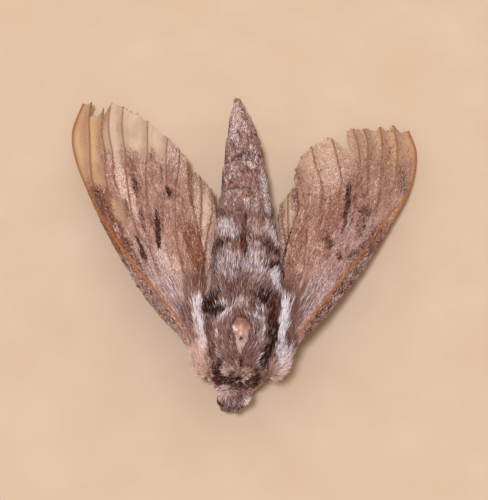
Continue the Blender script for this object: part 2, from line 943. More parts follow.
@dataclass(frozen=True)
class MembraneFinish(Finish):
    """Wing membrane: pale and see-through where it has lost its scales, with amber veins."""

    palette: Palette
    plain: ClassVar[dict[str, float]] = {"Roughness": 0.5, "Specular IOR Level": 0.4}

    def patterns(self, g: Graph) -> dict[str, Socket]:
        """What feeds the shader's inputs, by their names.

        Args:
            g: The material's graph.

        Returns:
            The sockets by the names of the inputs.
        """
        span = g.add("ShaderNodeUVMap", uv_map="span").outputs[0]
        drawn = g.add("ShaderNodeMapping", {"Vector": span, "Scale": (1.0, 6.0, 1.0)})
        streak = g.add("ShaderNodeGroup", {"Vector": drawn.outputs[0], "Scale": 90.0}, node_tree=self.grain)
        scaled = self.paint(g, self.palette, streak.outputs["Tone"], 0.7, self.specks(g, 6000.0))
        bare = g.mask(Channel.BARE.value)
        film = g.mix(srgb(255, 202, 148), srgb(255, 222, 192), g.mask("milk"))
        dust = g.remap(streak.outputs["Tone"], 0.15, 0.85, 1.0, 0.45)
        dusty = g.times(dust, g.plus(g.mask("dust"), 0.08))
        film = g.scaled(film, g.remap(self.specks(g, 5200.0), 0.0, 1.0, 0.9, 1.04))
        film = g.mix(film, srgb(156, 108, 90), g.times(dusty, g.remap(g.mask("milk"), 0.0, 1.0, 0.72, 0.6)))
        colour = g.mix(scaled, film, bare)
        colour = g.mix(colour, srgb(158, 100, 68), g.mask("vein"))
        colour = g.mix(colour, srgb(176, 106, 58), g.mask("costa"))
        solid = g.math("MAXIMUM", g.mask("vein"), g.mask("costa"))
        sheer = g.minus(1.0, g.times(bare, 0.28))
        alpha = g.math("MAXIMUM", sheer, solid)
        normal = self.bump(g, streak.outputs["Height"], 0.35, 0.00004)
        return {"Base Color": colour, "Alpha": alpha, "Normal": normal}


@dataclass(frozen=True)
class EyeFinish(Finish):
    """Glossy dark brown dome of fine facets."""

    plain: ClassVar[dict[str, float]] = {
        "Roughness": 0.22, "Specular IOR Level": 0.4, "Coat Weight": 0.15, "Coat Roughness": 0.1
    }

    def patterns(self, g: Graph) -> dict[str, Socket]:
        """What feeds the shader's inputs, by their names.

        Args:
            g: The material's graph.

        Returns:
            The sockets by the names of the inputs.
        """
        own = self.own(g)
        facets = g.add("ShaderNodeTexVoronoi", {"Vector": own, "Scale": 16000.0})
        cloud = g.add("ShaderNodeTexNoise", {"Vector": own, "Scale": 1800.0, "Detail": 2.0})
        colour = g.mix(srgb(16, 9, 7), srgb(48, 27, 19), g.remap(cloud.outputs[0], 0.4, 0.7, 0.0, 1.0))
        normal = self.bump(g, facets.outputs["Distance"], 0.5, 0.00002, invert=True)
        return {"Base Color": colour, "Normal": normal}


@dataclass(frozen=True)
class CuticleFinish(Finish):
    """Brown horny cuticle of the legs, feelers, tongue and claws."""

    dark: Colour = srgb(70, 44, 34)
    pale: Colour = srgb(150, 108, 84)
    plain: ClassVar[dict[str, float]] = {"Specular IOR Level": 0.5}

    def patterns(self, g: Graph) -> dict[str, Socket]:
        """What feeds the shader's inputs, by their names.

        Args:
            g: The material's graph.

        Returns:
            The sockets by the names of the inputs.
        """
        grain = self.streaks(g, (1.0, 1.0, 1.0), 4000.0)
        colour = g.mix(self.dark, self.pale, grain.outputs["Tone"])
        rough = g.remap(grain.outputs["Tone"], 0.0, 1.0, 0.38, 0.6)
        normal = self.bump(g, grain.outputs["Height"], 0.5, 0.00003)
        return {"Base Color": colour, "Roughness": rough, "Normal": normal}


@dataclass(frozen=True)
class FloorFinish(Finish):
    """Pale paper, faintly uneven in its tone."""

    plain: ClassVar[dict[str, float]] = {"Roughness": 0.7, "Specular IOR Level": 0.3}

    def patterns(self, g: Graph) -> dict[str, Socket]:
        """What feeds the shader's inputs, by their names.

        Args:
            g: The material's graph.

        Returns:
            The sockets by the names of the inputs.
        """
        cloud = g.add("ShaderNodeTexNoise", {"Vector": self.own(g), "Scale": 120.0, "Detail": 3.0})
        tone = g.remap(cloud.outputs[0], 0.3, 0.7, 0.0, 1.0)
        return {"Base Color": g.mix(srgb(226, 192, 162), srgb(231, 200, 172), tone)}


# ---- markings


@dataclass(frozen=True)
class Stroke:
    """One mark: a soft-edged stripe between two places."""

    channel: Channel
    start: Plan
    end: Plan
    radius: float
    strength: float = 1.0
    soft: float = 0.5

    def over(self, places: Array) -> Array:
        """Strength of the mark at each place of a flat plan.

        Args:
            places: The places.

        Returns:
            One strength for each.
        """
        a, b = np.array(self.start), np.array(self.end)
        span = b - a
        t = np.clip((places - a) @ span / max(float(span @ span), 1e-9), 0.0, 1.0)
        distance = np.linalg.norm(places - a - t[:, None] * span, axis=1)
        radius = self.radius * (1.0 - 0.4 * np.abs(2.0 * t - 1.0) ** 2.5)
        return self.strength * ease((radius - distance) / (self.radius * self.soft) + 0.5)


def lay(masks: Masks, channel: Channel, values: Array) -> None:
    """Lay values over a mask wherever they are stronger."""
    masks[channel] = np.maximum(masks[channel], values)


def strokes(*rows: tuple) -> tuple[Stroke, ...]:
    """Marks from rows of channel, both ends, radius, strength and softness."""
    return tuple(Stroke(row[0], row[1:3], row[3:5], *row[5:]) for row in rows)


def blend_strokes(marks: Iterable[Stroke], plan: Array, masks: Masks) -> None:
    """Lay marks over the masks at the places of a flat plan."""
    for mark in marks:
        lay(masks, mark.channel, mark.over(plan))


@dataclass(frozen=True)
class Coat:
    """How one coat of tufts grows: what kind, how many to the square millimetre, and how they lie."""

    name: str
    tuft: Blade
    density: float
    width: float
    height: float
    lift: float = 14.0
    stray: float = 12.0
    swirl: float = 40.0
    swirl_size: float = 1.2
    length: float = 1.0
    seed: int = 1


class Groomer:
    """Grows coats on surfaces with one shared tree."""

    def __init__(self, bench: Bench) -> None:
        """Make the tree and the tuft models."""
        self.bench, self.tree = bench, coat_tree()
        self.tufts = {kind: tuft_object(kind) for kind in Blade}

    def grow(self, coat: Coat, surface: Mesh, cover: Array, finish: Material) -> None:
        """Grow one coat and register it.

        Args:
            coat: Its kind and measures.
            surface: Mesh in millimetres with fields lie, reach and rise, its markings and its unwrap.
            cover: Share of the full density at each vertex.
            finish: The coat's material.
        """
        write_field(surface, "cover", cover)
        carrier = placed("carrier", surface)
        values = {
            "Tuft": self.tufts[coat.tuft],
            "Density": coat.density,
            "Length": coat.length,
            "Width": coat.width,
            "Height": coat.height,
            "Lift": math.radians(coat.lift),
            "Stray": math.radians(coat.stray),
            "Swirl": math.radians(coat.swirl) * 2,
            "Swirl Scale": 1.0 / coat.swirl_size,
            "Patch": PATCH,
            "Seed": coat.seed,
            "Finish": finish,
        }
        mesh = run_tree(carrier, self.tree, values)
        bpy.data.objects.remove(carrier)
        self.bench.finish(coat.name, mesh, Slot.COAT)

    def close(self) -> None:
        """Take the tuft models out of the scene."""
        for model in self.tufts.values():
            mesh = model.data
            bpy.data.objects.remove(model)
            bpy.data.meshes.remove(mesh)


# ---- body


def flat_masks(count: int) -> Masks:
    """Empty masks for a number of places."""
    return {channel: np.zeros(count) for channel in Channel}


def write_masks(mesh: Mesh, masks: Masks) -> None:
    """Keep the masks on a surface under their names."""
    for channel, values in masks.items():
        write_field(mesh, channel.value, np.clip(values, 0.0, 1.0))


D, P, W, C, B = Channel.DARK, Channel.PALE, Channel.WARM, Channel.COOL, Channel.BARE

BODY_STROKES = strokes(
    # head and collar
    (P, -1.8, -5.1, -0.2, -5.3, 0.55, 0.5, 1.0), (C, -2.0, -4.9, -0.9, -5.2, 0.5, 0.22, 1.0),
    (C, 1.6, -4.8, 1.1, -6.0, 0.75, 1.25), (W, -0.5, -5.3, 0.2, -5.3, 0.3, 0.6),
    (D, -1.0, -6.2, 0.1, -6.1, 0.85, 0.7), (C, -1.0, -6.2, 0.2, -6.1, 0.85, 0.14),
    (P, -1.0, -6.2, 0.2, -6.1, 0.85, 0.24), (D, -1.6, -6.4, -1.3, -6.8, 0.3, 0.8),
    (P, -1.6, -3.1, -1.2, -3.6, 0.24, 0.5), (P, -1.2, -3.6, -0.1, -3.85, 0.26, 0.55),
    (P, -0.1, -3.85, 1.0, -3.65, 0.24, 0.5), (W, 0.0, -3.4, 0.7, -3.3, 0.4, 0.6),
    # shield of the thorax
    (D, 0.0, -2.75, 0.05, -3.3, 0.22, 0.8), (C, -2.45, 0.2, -2.35, -1.1, 0.12, 0.45),
    (C, -2.35, -1.1, -1.85, -2.7, 0.12, 0.5), (C, 2.4, 0.7, 2.1, -0.6, 0.1, 0.7),
    (C, 2.1, -1.9, 1.7, -2.9, 0.09, 0.8), (C, 1.2, 1.6, 2.4, 1.4, 0.5, 0.5, 1.2),
    (C, 1.3, 1.0, 1.5, -1.8, 0.9, 0.2, 1.2), (C, -2.4, 1.2, -1.4, 2.7, 0.5, 0.5, 1.2),
    (W, -1.2, -0.6, -0.8, -2.4, 0.5, 0.5, 1.0), (W, 1.0, -0.4, 1.2, -2.2, 0.5, 0.5, 1.0),
    (W, 0.3, 2.2, 0.9, 1.3, 0.4, 0.7), (D, -0.9, 1.9, -0.3, 2.2, 0.2, 0.6),
    (C, -1.0, 3.1, 0.8, 3.2, 0.8, 0.42, 1.0), (P, -0.6, 3.6, 0.8, 3.6, 0.6, 0.45, 1.0),
    # bands beside the shield, and the black spots behind it
    (W, -3.4, 2.2, -3.2, -0.4, 0.55, 0.95), (W, -3.2, -0.4, -2.7, -3.0, 0.55, 0.95),
    (D, -3.1, -1.2, -2.6, -3.0, 0.3, 0.6), (D, 3.5, 2.6, 3.8, 1.0, 0.66, 1.1),
    (D, 3.8, 1.0, 3.2, -1.0, 0.66, 1.2), (D, 3.2, -1.0, 2.3, -2.7, 0.55, 1.2),
    (D, -1.85, -3.2, -2.1, -3.9, 0.5, 0.95), (D, 1.6, -3.4, 2.2, -3.9, 0.4, 0.9),
    (D, -3.1, 4.9, -2.6, 2.8, 0.85, 1.25), (D, 2.2, 4.4, 3.5, 3.6, 0.95, 1.25),
    (C, -2.6, 3.8, -1.9, 3.95, 0.14, 1.0), (C, -1.9, 3.95, -1.5, 3.6, 0.2, 0.95),
    (C, 1.95, 3.15, 2.8, 2.95, 0.17, 1.0),
    # white hair over the wing roots
    (C, 5.2, 5.4, 4.75, 2.6, 0.5, 0.9), (C, 4.75, 2.6, 4.4, -0.1, 0.5, 0.95),
    (C, 4.4, -0.1, 4.25, -2.3, 0.45, 0.62, 0.9), (C, 5.5, -0.4, 5.0, -1.8, 0.4, 0.42, 1.0),
    (P, -4.8, 5.2, -3.95, 1.2, 0.6, 0.8), (C, -4.8, 5.2, -3.95, 1.3, 0.4, 0.8),
    (C, -3.95, 1.3, -3.6, -1.6, 0.3, 0.6), (P, -3.9, 1.2, -3.6, -2.4, 0.5, 0.85),
    (P, 5.4, -1.9, 3.6, -3.2, 0.9, 0.5, 1.0), (C, 5.4, -1.6, 4.2, -3.0, 0.7, 0.38, 1.0),
    (P, -5.0, -0.9, -3.2, -3.2, 0.8, 0.7, 0.9), (W, -4.35, 0.1, -4.4, -0.5, 0.24, 1.0),
    (W, 5.1, -0.2, 5.1, -0.6, 0.25, 0.95), (W, 3.4, -2.6, 3.9, -1.4, 0.5, 0.7, 0.9),
    # front of the abdomen
    (C, -1.3, 10.8, -1.2, 7.4, 1.5, 0.36, 1.4), (C, 1.6, 11.2, 1.6, 7.4, 1.6, 0.42, 1.4),
    (W, -2.6, 6.0, 3.4, 6.0, 1.3, 0.55, 1.4), (C, -2.6, 6.0, 3.4, 6.0, 1.3, 0.16, 1.4),
    (D, -3.5, 5.8, -2.2, 5.2, 0.6, 0.85), (D, 1.6, 5.0, 3.6, 5.5, 0.7, 0.8),
    (C, 3.6, 9.0, 4.4, 6.4, 0.9, 0.68, 1.1), (D, 0.62, 16.4, 0.54, 10.1, 0.26, 0.9, 0.8),
    (D, 0.3, 15.6, 0.3, 11.0, 0.4, 0.45, 1.0), (W, 0.0, 12.6, -0.1, 9.8, 0.5, 0.8),
    (P, -0.2, 10.6, 0.1, 9.7, 0.3, 0.6), (D, 0.4, 9.2, 0.4, 8.1, 0.28, 0.7),
    (D, -3.0, 12.2, -1.5, 12.6, 0.8, 0.82, 1.0), (D, -2.8, 10.5, -2.4, 8.6, 0.5, 0.75, 1.0),
    (D, 2.4, 12.6, 4.3, 11.7, 0.75, 0.85, 1.0), (D, 2.6, 9.3, 4.9, 10.2, 0.4, 1.0),
    (D, -0.5, 12.5, 1.9, 12.6, 0.26, 0.8), (C, -2.7, 15.6, -0.6, 14.8, 0.8, 0.42, 1.0),
    (C, -1.8, 14.4, -0.6, 13.0, 0.8, 0.45, 1.2), (C, 3.2, 15.6, 4.0, 12.9, 0.8, 0.42, 1.3),
    (P, 1.5, 15.4, 2.1, 13.3, 0.8, 0.46, 1.4), (W, 0.9, 15.6, 1.3, 13.3, 0.3, 0.4, 1.0),
    # hind part of the abdomen
    (P, 0.8, 18.9, 0.65, 17.4, 0.15, 0.5), (W, 0.9, 20.3, 0.8, 19.0, 0.5, 0.9),
    (W, -1.3, 21.9, -1.0, 21.2, 0.5, 0.6), (C, 2.6, 23.4, 3.3, 17.4, 0.5, 0.4, 1.0),
    (W, -1.4, 24.4, -0.6, 24.0, 0.5, 0.8), (P, -1.3, 24.4, -0.9, 24.1, 0.25, 0.5),
    (W, 0.6, 24.6, 1.8, 23.0, 0.7, 0.8), (P, 0.9, 24.2, 1.4, 23.4, 0.4, 0.7),
    (D, -0.9, 25.4, 2.5, 25.8, 0.3, 0.8), (W, -0.7, 29.2, -0.4, 26.6, 0.7, 0.7),
    (P, -0.6, 28.6, -0.5, 27.4, 0.3, 0.5, 0.8), (W, 0.9, 28.6, 1.4, 26.6, 0.5, 0.6),
    (P, 1.2, 27.0, 1.2, 26.6, 0.25, 0.8), (W, -0.7, 33.6, 0.3, 29.6, 1.0, 0.6, 1.0),
    (P, -0.45, 33.6, -0.3, 29.8, 0.6, 0.55, 1.2),
)


@dataclass
class Trunk:
    """Outline of the body with its coat, from the neck to the tip of the abdomen."""

    stations: tuple[tuple[float, float, float, float, float], ...] = (
        # along Y, middle in X, half width, top, bottom
        (-4.4, -0.1, 2.15, 7.3, 4.0),
        (-3.2, 0.0, 3.3, 9.0, 2.5),
        (0.0, 0.25, 4.2, 10.7, 1.9),
        (4.0, 0.6, 4.3, 9.9, 1.9),
        (8.5, 0.9, 4.25, 8.6, 2.0),
        (13.0, 0.85, 4.0, 7.8, 1.8),
        (17.6, 0.8, 3.4, 7.1, 1.7),
        (22.8, 0.72, 2.85, 6.3, 1.9),
        (28.4, 0.48, 2.15, 5.6, 2.3),
        (31.4, 0.12, 1.45, 5.1, 2.8),
        (34.0, -0.28, 0.6, 4.5, 3.5),
        (35.0, -0.42, 0.12, 4.1, 3.9),
    )
    segments: tuple[float, ...] = (7.2, 9.7, 13.1, 16.5, 20.1, 24.4, 28.7, 32.0, 35.0)
    rings: int = 220
    sides: int = 120
    middle: Path = field(init=False)
    size: Path = field(init=False)

    def __post_init__(self) -> None:
        """Run smooth lines through the stations."""
        y, x, half, top, bottom = np.array(self.stations).T
        self.middle = Path(np.stack([x, y, (top + bottom) / 2], axis=1))
        self.size = Path(np.stack([half, y, (top - bottom) / 2], axis=1))

    @staticmethod
    def depth(y: Array) -> Array:
        """Depth of the coat over the skin."""
        places = [-4.4, -3.0, 3.0, 8.0, 16.0, 24.0, 33.0]
        return np.interp(y, places, [0.35, 0.5, 0.55, 0.5, 0.25, 0.16, 0.12])

    def skin(self) -> Shell:
        """The trunk's own surface, inside the coat.

        Returns:
            The surface, facing outwards.
        """
        y = np.linspace(-4.3, 34.55, self.rings)
        middle, size = self.middle.across(y, 1), self.size.across(y, 1)
        angles = np.linspace(0, 2 * math.pi, self.sides, endpoint=False)
        wide = np.maximum(size[:, 0] - self.depth(y), 0.06)
        high = np.maximum(size[:, 2] - self.depth(y), 0.06)
        x = middle[:, :1] + wide[:, None] * np.cos(angles)
        z = middle[:, 2:] + high[:, None] * np.sin(angles)
        return loft(np.stack([x, np.repeat(y[:, None], self.sides, axis=1), z], axis=-1))

    def around(self, points: Array) -> tuple[Array, Array]:
        """Where points lie about the trunk's middle: angle from the top, and distance in half widths.

        Args:
            points: Places in the moth's own axes.

        Returns:
            The angle and the distance of each.
        """
        y = np.clip(points[:, 1], -4.4, 34.9)
        middle, size = self.middle.across(y, 1), self.size.across(y, 1)
        x = (points[:, 0] - middle[:, 0]) / size[:, 0]
        z = (points[:, 2] - middle[:, 2]) / size[:, 2]
        return np.arctan2(x, z), np.hypot(x, z)

    def outward(self, distance: float, y: float, z: float, side: Side) -> Array:
        """The place a distance out from the trunk's middle, to one side."""
        middle = self.middle.across(np.array([y]), 1)[0]
        return np.array([middle[0] + side.value * distance, y, z])


@dataclass
class Head:
    """Skull, palps, eyes and tongue, in a frame of their own that is turned a little."""

    centre: Place = (-0.35, -5.2, 4.7)
    half: Place = (1.8, 1.55, 1.9)
    yaw: float = -2.0
    roll: float = 6.0
    coat_depth: float = 0.32
    eye_at: Place = (1.0, -0.35, -0.55)
    eye_half: Place = (0.62, 0.8, 0.88)
    palp: tuple[Place, ...] = ((0.5, -0.35, -1.6), (0.6, -0.85, -1.35), (0.62, -1.05, -0.6))
    palp_radius: float = 0.4
    tongue_centre: Place = (0.0, -0.45, -2.0)
    tongue_coil: float = 0.55
    turn: Array = field(init=False)

    def __post_init__(self) -> None:
        """Work out the turn from the head's frame to the moth's."""
        about_y = np.array(Matrix.Rotation(math.radians(self.roll), 3, "Y"))
        about_z = np.array(Matrix.Rotation(math.radians(self.yaw), 3, "Z"))
        self.turn = about_y @ about_z

    def place(self, local: Array) -> Array:
        """Places of the head's frame in the moth's."""
        return np.asarray(local) @ self.turn.T + np.array(self.centre)

    def eye_centre(self, side: Side) -> Array:
        """Middle of one eye."""
        x, y, z = self.eye_at
        return self.place(np.array([x * side.value, y, z]))

    def skin(self) -> Shell:
        """Skull and palps inside their coat, as closed surfaces that cross.

        Returns:
            The surfaces in one shell.
        """
        half = [h - self.coat_depth for h in self.half]
        total = ellipsoid(self.centre, half, self.turn, 30)
        for side in Side:
            places = [(x * side.value, y, z) for x, y, z in self.palp]
            line = Path(self.place(np.array(places))).at(np.linspace(0, 1, 16))
            radii = self.palp_radius * np.interp(np.linspace(0, 1, 16), [0, 0.5, 0.9, 1], [0.8, 1, 0.6, 0.25])
            total = total + tube(line, radii, 14)
        return total

    def near_eye(self, points: Array) -> Array:
        """How clear points are of the eyes: 0 inside them, 1 away from them.

        Args:
            points: Places in the moth's own axes.

        Returns:
            One value for each.
        """
        clear = np.ones(len(points))
        for side in Side:
            local = (points - self.eye_centre(side)) @ self.turn
            reach = np.linalg.norm(local / np.array(self.eye_half), axis=1)
            clear = np.minimum(clear, ease((reach - 1.0) / 0.16))
        return clear

    def build_eyes(self, bench: Bench, finish: Material) -> None:
        """Make and register both eyes.

        Args:
            bench: What registers the pieces.
            finish: Their material.
        """
        for side in Side:
            ball = ellipsoid(self.eye_centre(side), self.eye_half, self.turn, 36)
            name = f"eye_{side.word}"
            bench.finish(f"{name}_dome", ball.mesh(name), Slot.EYE, finish, [name])

    def build_tongue(self, bench: Bench, tree: Tree, finish: Material) -> None:
        """Make and register the coiled tongue, a ringed shaft on a spiral.

        Args:
            bench: What registers the pieces.
            tree: Tree that makes rings.
            finish: Its material.
        """
        t = np.linspace(0.0, 1.0, 60)
        angle = math.pi * 0.35 + 1.9 * math.pi * t
        radius = self.tongue_coil * (1.0 - 0.3 * t)
        x, y, z = self.tongue_centre
        line = np.stack([x + 0.06 * t, y + radius * np.cos(angle), z + radius * np.sin(angle)], axis=1)
        values = {"Rings": 40, "Shaft": 0.2, "Tip": 0.11, "Taper": 1.0, "Groove": 0.16}
        values |= {"Sides": 10, "Finish": finish}
        mesh = run_line(self.place(line), tree, values)
        bench.finish("tongue_coil", mesh, Slot.CUTICLE, None, ["tongue"])


def run_line(line: Array, tree: Tree, values: dict[str, object]) -> Mesh:
    """Plain mesh that a tree makes along a line of places.

    Args:
        line: The places.
        tree: The tree.
        values: Its inputs by name.

    Returns:
        The mesh.
    """
    mesh = bpy.data.meshes.new("line")
    mesh.from_pydata([tuple(p) for p in line], [(k, k + 1) for k in range(len(line) - 1)], [])
    carrier = placed("line", mesh)
    result = run_tree(carrier, tree, values)
    bpy.data.objects.remove(carrier)
    return result


@dataclass
class Body:
    """The one skin of trunk, head, palps and shoulders, and the coats that grow on it."""

    trunk: Trunk
    head: Head
    lobes: tuple[tuple[Place, Place], ...] = (
        # tegulae over the shoulders, then the roots of the wings behind them
        ((-3.3, -1.4, 6.3), (1.45, 2.15, 1.3)),
        ((3.75, -1.2, 6.3), (1.7, 2.2, 1.3)),
        ((-3.9, 1.7, 6.15), (1.45, 3.8, 1.0)),
        ((4.75, 1.9, 6.25), (1.5, 3.8, 1.0)),
    )
    voxel: float = 0.15
    shield_centre: Plan = (0.1, -0.7)
    shield_half: Plan = (2.85, 3.5)
    shield_rise: float = 0.28
    groove_depth: float = 0.22
    hole_depth: float = 0.3
    kite_rise: float = 0.26
    ring_rise: float = 0.2
    unwrap_start: float = -7.2
    unwrap_length: float = 43.0

    def replaced(self) -> list[str]:
        """Nodes of the frame that the skin stands for.

        Returns:
            Their names.
        """
        rings = [f"abdomen_{k}" for k in range(1, len(self.trunk.segments))]
        paired = [f"{part}_{side.word}" for part in ("tegula", "palp") for side in Side]
        return ["collar", "thorax", "metathorax", "head", *rings, *paired]

    def build_skin(self) -> Mesh:
        """Join the closed surfaces into one smooth skin and raise its relief.

        Returns:
            The skin, in millimetres.
        """
        total = self.trunk.skin() + self.head.skin()
        for centre, half in self.lobes:
            total = total + ellipsoid(centre, half, None, 30)
        rough = placed("rough_skin", total.mesh("rough_skin"))
        remesh = rough.modifiers.new("one_skin", "REMESH")
        remesh.mode = "VOXEL"
        remesh.voxel_size = self.voxel
        soften = rough.modifiers.new("soften", "SMOOTH")
        soften.factor = 0.6
        soften.iterations = 6
        evaluated = rough.evaluated_get(bpy.context.evaluated_depsgraph_get())
        skin = bpy.data.meshes.new_from_object(evaluated)
        bpy.data.objects.remove(rough)
        skin.polygons.foreach_set("use_smooth", [True] * len(skin.polygons))
        points = points_of(skin)
        move_points(skin, points + normals_of(skin) * self.relief(points)[:, None])
        return skin

    def shield(self, points: Array) -> tuple[Array, Array, Array]:
        """Place in the shield's oval, from -1 to 1 each way, and distance from its middle."""
        x, y = ((points[:, :2] - self.shield_centre) / self.shield_half).T
        return x, y, np.hypot(x, y)

    def relief(self, points: Array) -> Array:
        """How far the skin rises over its smooth form.

        Args:
            points: Places in the moth's own axes.

        Returns:
            One height for each, in millimetres.
        """
        y = points[:, 1]
        rise = np.zeros(len(points))
        for start, end in zip(self.trunk.segments, self.trunk.segments[1:]):
            part = (y - start) / (end - start)
            inside = (part >= 0) & (part < 1) & (end < 34)
            rise += np.where(inside, self.ring_rise * (part - 0.55) * np.clip((1.0 - part) / 0.06, 0, 1), 0.0)
        _, _, distance = self.shield(points)
        top = ease((points[:, 2] - 6.5) / 1.5)
        rise += top * self.shield_rise * ease((1.0 - distance) / 0.14 + 0.5)
        rise -= top * self.groove_depth * np.exp(-(((distance - 1.12) / 0.07) ** 2))
        plan = points[:, :2]
        hole = np.linalg.norm(plan - np.array([0.0, -1.0]), axis=1)
        rise -= top * self.hole_depth * np.exp(-((hole / 0.16) ** 2))
        patch = np.linalg.norm(plan - np.array([0.0, 0.3]), axis=1)
        rise += top * self.kite_rise * np.exp(-((patch / 0.6) ** 2))
        return rise

    @staticmethod
    def bald_patch(plan: Array) -> tuple[Array, Array]:
        """The rubbed kite on the shield, and how far towards its tan front each place is.

        Args:
            plan: Places seen from above.

        Returns:
            Both shares for each place.
        """
        widest, rear, front, half = 0.35, 1.5, -2.9, 1.1
        x, y = plan[:, 0] - 0.02, plan[:, 1]
        behind = np.clip((rear - y) / (rear - widest), 0, 1) ** 0.6
        before = np.clip((y - front) / (widest - front), 0, 1)
        width = half * np.where(y > widest, behind, before) * ((y < rear) & (y > front))
        return ease((width - np.abs(x)) / 0.16 + 0.2), ease((-0.75 - y) / 0.3)

    def masks(self, points: Array) -> Masks:
        """The body's markings at each point.

        Args:
            points: Places in the moth's own axes.

        Returns:
            The masks by channel.
        """
        x, y, z = points.T
        wander = np.stack([Mottle(11, (0.5, 1.4, 0.6))(points), Mottle(12, (0.5, 1.4, 0.6))(points)], axis=1)
        streak = Mottle(13, (0.22, 1.3, 0.4))(points)
        cloud = Mottle(14, (0.9, 1.6, 0.9))(points)
        fine = Mottle(15, (0.17, 0.36, 0.17))(points)
        masks = flat_masks(len(points))
        plan = points[:, :2] + wander * np.array([0.12, 0.25])
        behind = plan + np.stack([np.zeros(len(plan)), 0.4 * self.coat_length(plan[:, 1])], axis=1)
        blend_strokes(BODY_STROKES, behind, masks)
        solid = 1.0 - 0.85 * ease((masks[D] - 0.8) / 0.15) * (masks[C] < 0.7)
        frayed = plan + 0.14 * np.stack([fine, np.roll(fine, 11)], axis=1)
        bald, front = self.bald_patch(frayed)
        angle, reach = self.trunk.around(points)
        above = ease((np.cos(angle) - math.cos(1.9)) / 0.5)
        above = np.maximum(above, ease((reach - 1.0) / 0.1) * ease((z - 4.2) / 0.8))
        above = np.maximum(above, ease((-4.0 - y) / 0.3) * ease((z - 3.0) / 0.6))
        for channel in Channel:
            masks[channel] *= above
        ruff = ease((-3.75 - y) / 0.25) * ease((y + 5.0) / 0.25) * ease((z - 5.0) / 0.6)
        lay(masks, D, 0.78 * ruff * (1.0 - masks[P]))
        lay(masks, W, 0.62 * ruff)
        cheek = ease((-3.8 - y) / 0.3) * ease((x - 0.9) / 0.3)
        cheek = cheek * ease((5.3 - np.abs(z * 2 - 5.3)) / 1.6)
        lay(masks, C, 0.85 * cheek)
        hairy = ease((18.0 - y) / 4.0)
        lay(masks, D, 0.62 * ease(streak * 1.3 - 0.12) * (0.45 + 0.55 * hairy))
        lay(masks, P, 0.55 * ease(-streak * 1.4 - 0.2) * (0.6 + 0.4 * hairy))
        lay(masks, W, 0.55 * ease(cloud * 1.2 + 0.1))
        speckled = ease((y - 15.0) / 3.0) * above
        lay(masks, D, 0.5 * speckled * ease(fine * 1.6 - 0.1) * ease((27.0 - y) / 4.0))
        lay(masks, P, speckled * (0.3 * ease(-fine * 1.8) + 0.2 * ease((y - 26.0) / 4.0)))
        lay(masks, C, 0.2 * ease(cloud * 1.5 - 0.5) * above)
        lay(masks, C, 0.36 * speckled * ease(streak * 1.8))
        for edge in self.trunk.segments[1:-1]:
            past = y - edge - 0.12 * wander[:, 0]
            lay(masks, D, 0.5 * ease(past / 0.1 + 0.5) * ease((0.7 - past) / 0.5) * (edge > 16))
            lay(masks, P, 0.34 * ease(-past / 0.1) * ease((0.5 + past) / 0.3) * (edge > 16))
        flank = ease((np.abs(angle) - 0.9) / 0.4) * ease((2.4 - np.abs(angle)) / 0.4)
        for start, end in zip(self.trunk.segments[1:], self.trunk.segments[2:]):
            part = np.clip((y - start) / (end - start), 0, 1) * ((y > start) & (y < end))
            band = ease(part / 0.15) * ease((0.6 - part) / 0.2) * flank
            lay(masks, D, 0.5 * band)
            lay(masks, P, 0.4 * ease((part - 0.7) / 0.15) * flank)
        masks[P] = np.maximum(masks[P] * solid, 0.35 * (1.0 - above))
        masks[C] *= solid
        masks[D] *= 1.0 - 0.8 * np.maximum(masks[C], masks[P] * (masks[P] > 0.6))
        masks[D] = np.minimum(masks[D], 1.15)
        lay(masks, B, bald)
        masks[P] = masks[P] * (1.0 - bald) + bald * front
        hole = np.linalg.norm((frayed - np.array([0.02, -0.95])) / np.array([0.14, 0.22]), axis=1)
        masks[D] = masks[D] * (1.0 - bald) + bald * ease(1.6 - hole)
        lit = ease(1.5 - np.hypot(plan[:, 0] + 0.5, plan[:, 1] + 0.2) / 0.13)
        lit = np.maximum(lit, 0.8 * ease(1.5 - np.hypot(plan[:, 0] + 0.05, plan[:, 1] + 0.45) / 0.11))
        edge = ease((-0.62 - plan[:, 0]) / 0.12) * ease((0.5 - y) / 0.3)
        masks[W] = masks[W] * (1.0 - bald) + 0.6 * bald * ease((y - 0.1) / 0.5)
        masks[C] = masks[C] * (1.0 - bald) + 0.8 * bald * np.maximum(lit, edge)
        return masks

    @staticmethod
    def coat_length(y: Array) -> Array:
        """How long the coat is along the body."""
        places = [-7.0, -4.8, -3.6, 0.0, 3.5, 6.0, 10.0, 14.0, 18.0, 24.0, 31.0, 34.0]
        return np.interp(y, places, [0.42, 0.45, 0.66, 0.95, 1.1, 1.35, 1.15, 0.9, 0.55, 0.45, 0.5, 0.8])

    def lie(self, points: Array) -> Array:
        """Which way the coat lies.

        Args:
            points: Places in the moth's own axes.

        Returns:
            One direction for each.
        """
        x, y, z = points.T
        u, v, distance = self.shield(points)
        direction = np.zeros_like(points)
        direction[:, 1] = 1.0
        on_top = ease((z - 6.0) / 2.0)
        inside = ease((1.3 - distance) / 0.2) * on_top
        direction[:, 0] = -1.1 * u * v * inside
        side = np.clip((x - 0.4) / 3.6, -1.2, 1.2)
        direction[:, 0] += 0.3 * side * (1 - inside) * ease((12.0 - y) / 6.0)
        waist = ease((y - 3.5) / 1.5) * ease((11.0 - y) / 2.0)
        direction[:, 0] += 0.35 * side * np.abs(side) * waist
        collar = ease((-3.5 - y) / 0.4)
        direction[:, 0] += 0.45 * side * collar
        front = ease((-4.6 - y) / 0.5)[:, None]
        aside = np.clip((x - self.head.centre[0]) / 1.0, -1.3, 1.3)
        level = np.ones(len(aside))
        forward = np.stack([0.8 * aside * np.abs(aside), -0.7 * level, 0.1 * level], axis=1)
        return unit(direction * (1 - front) + forward * front)

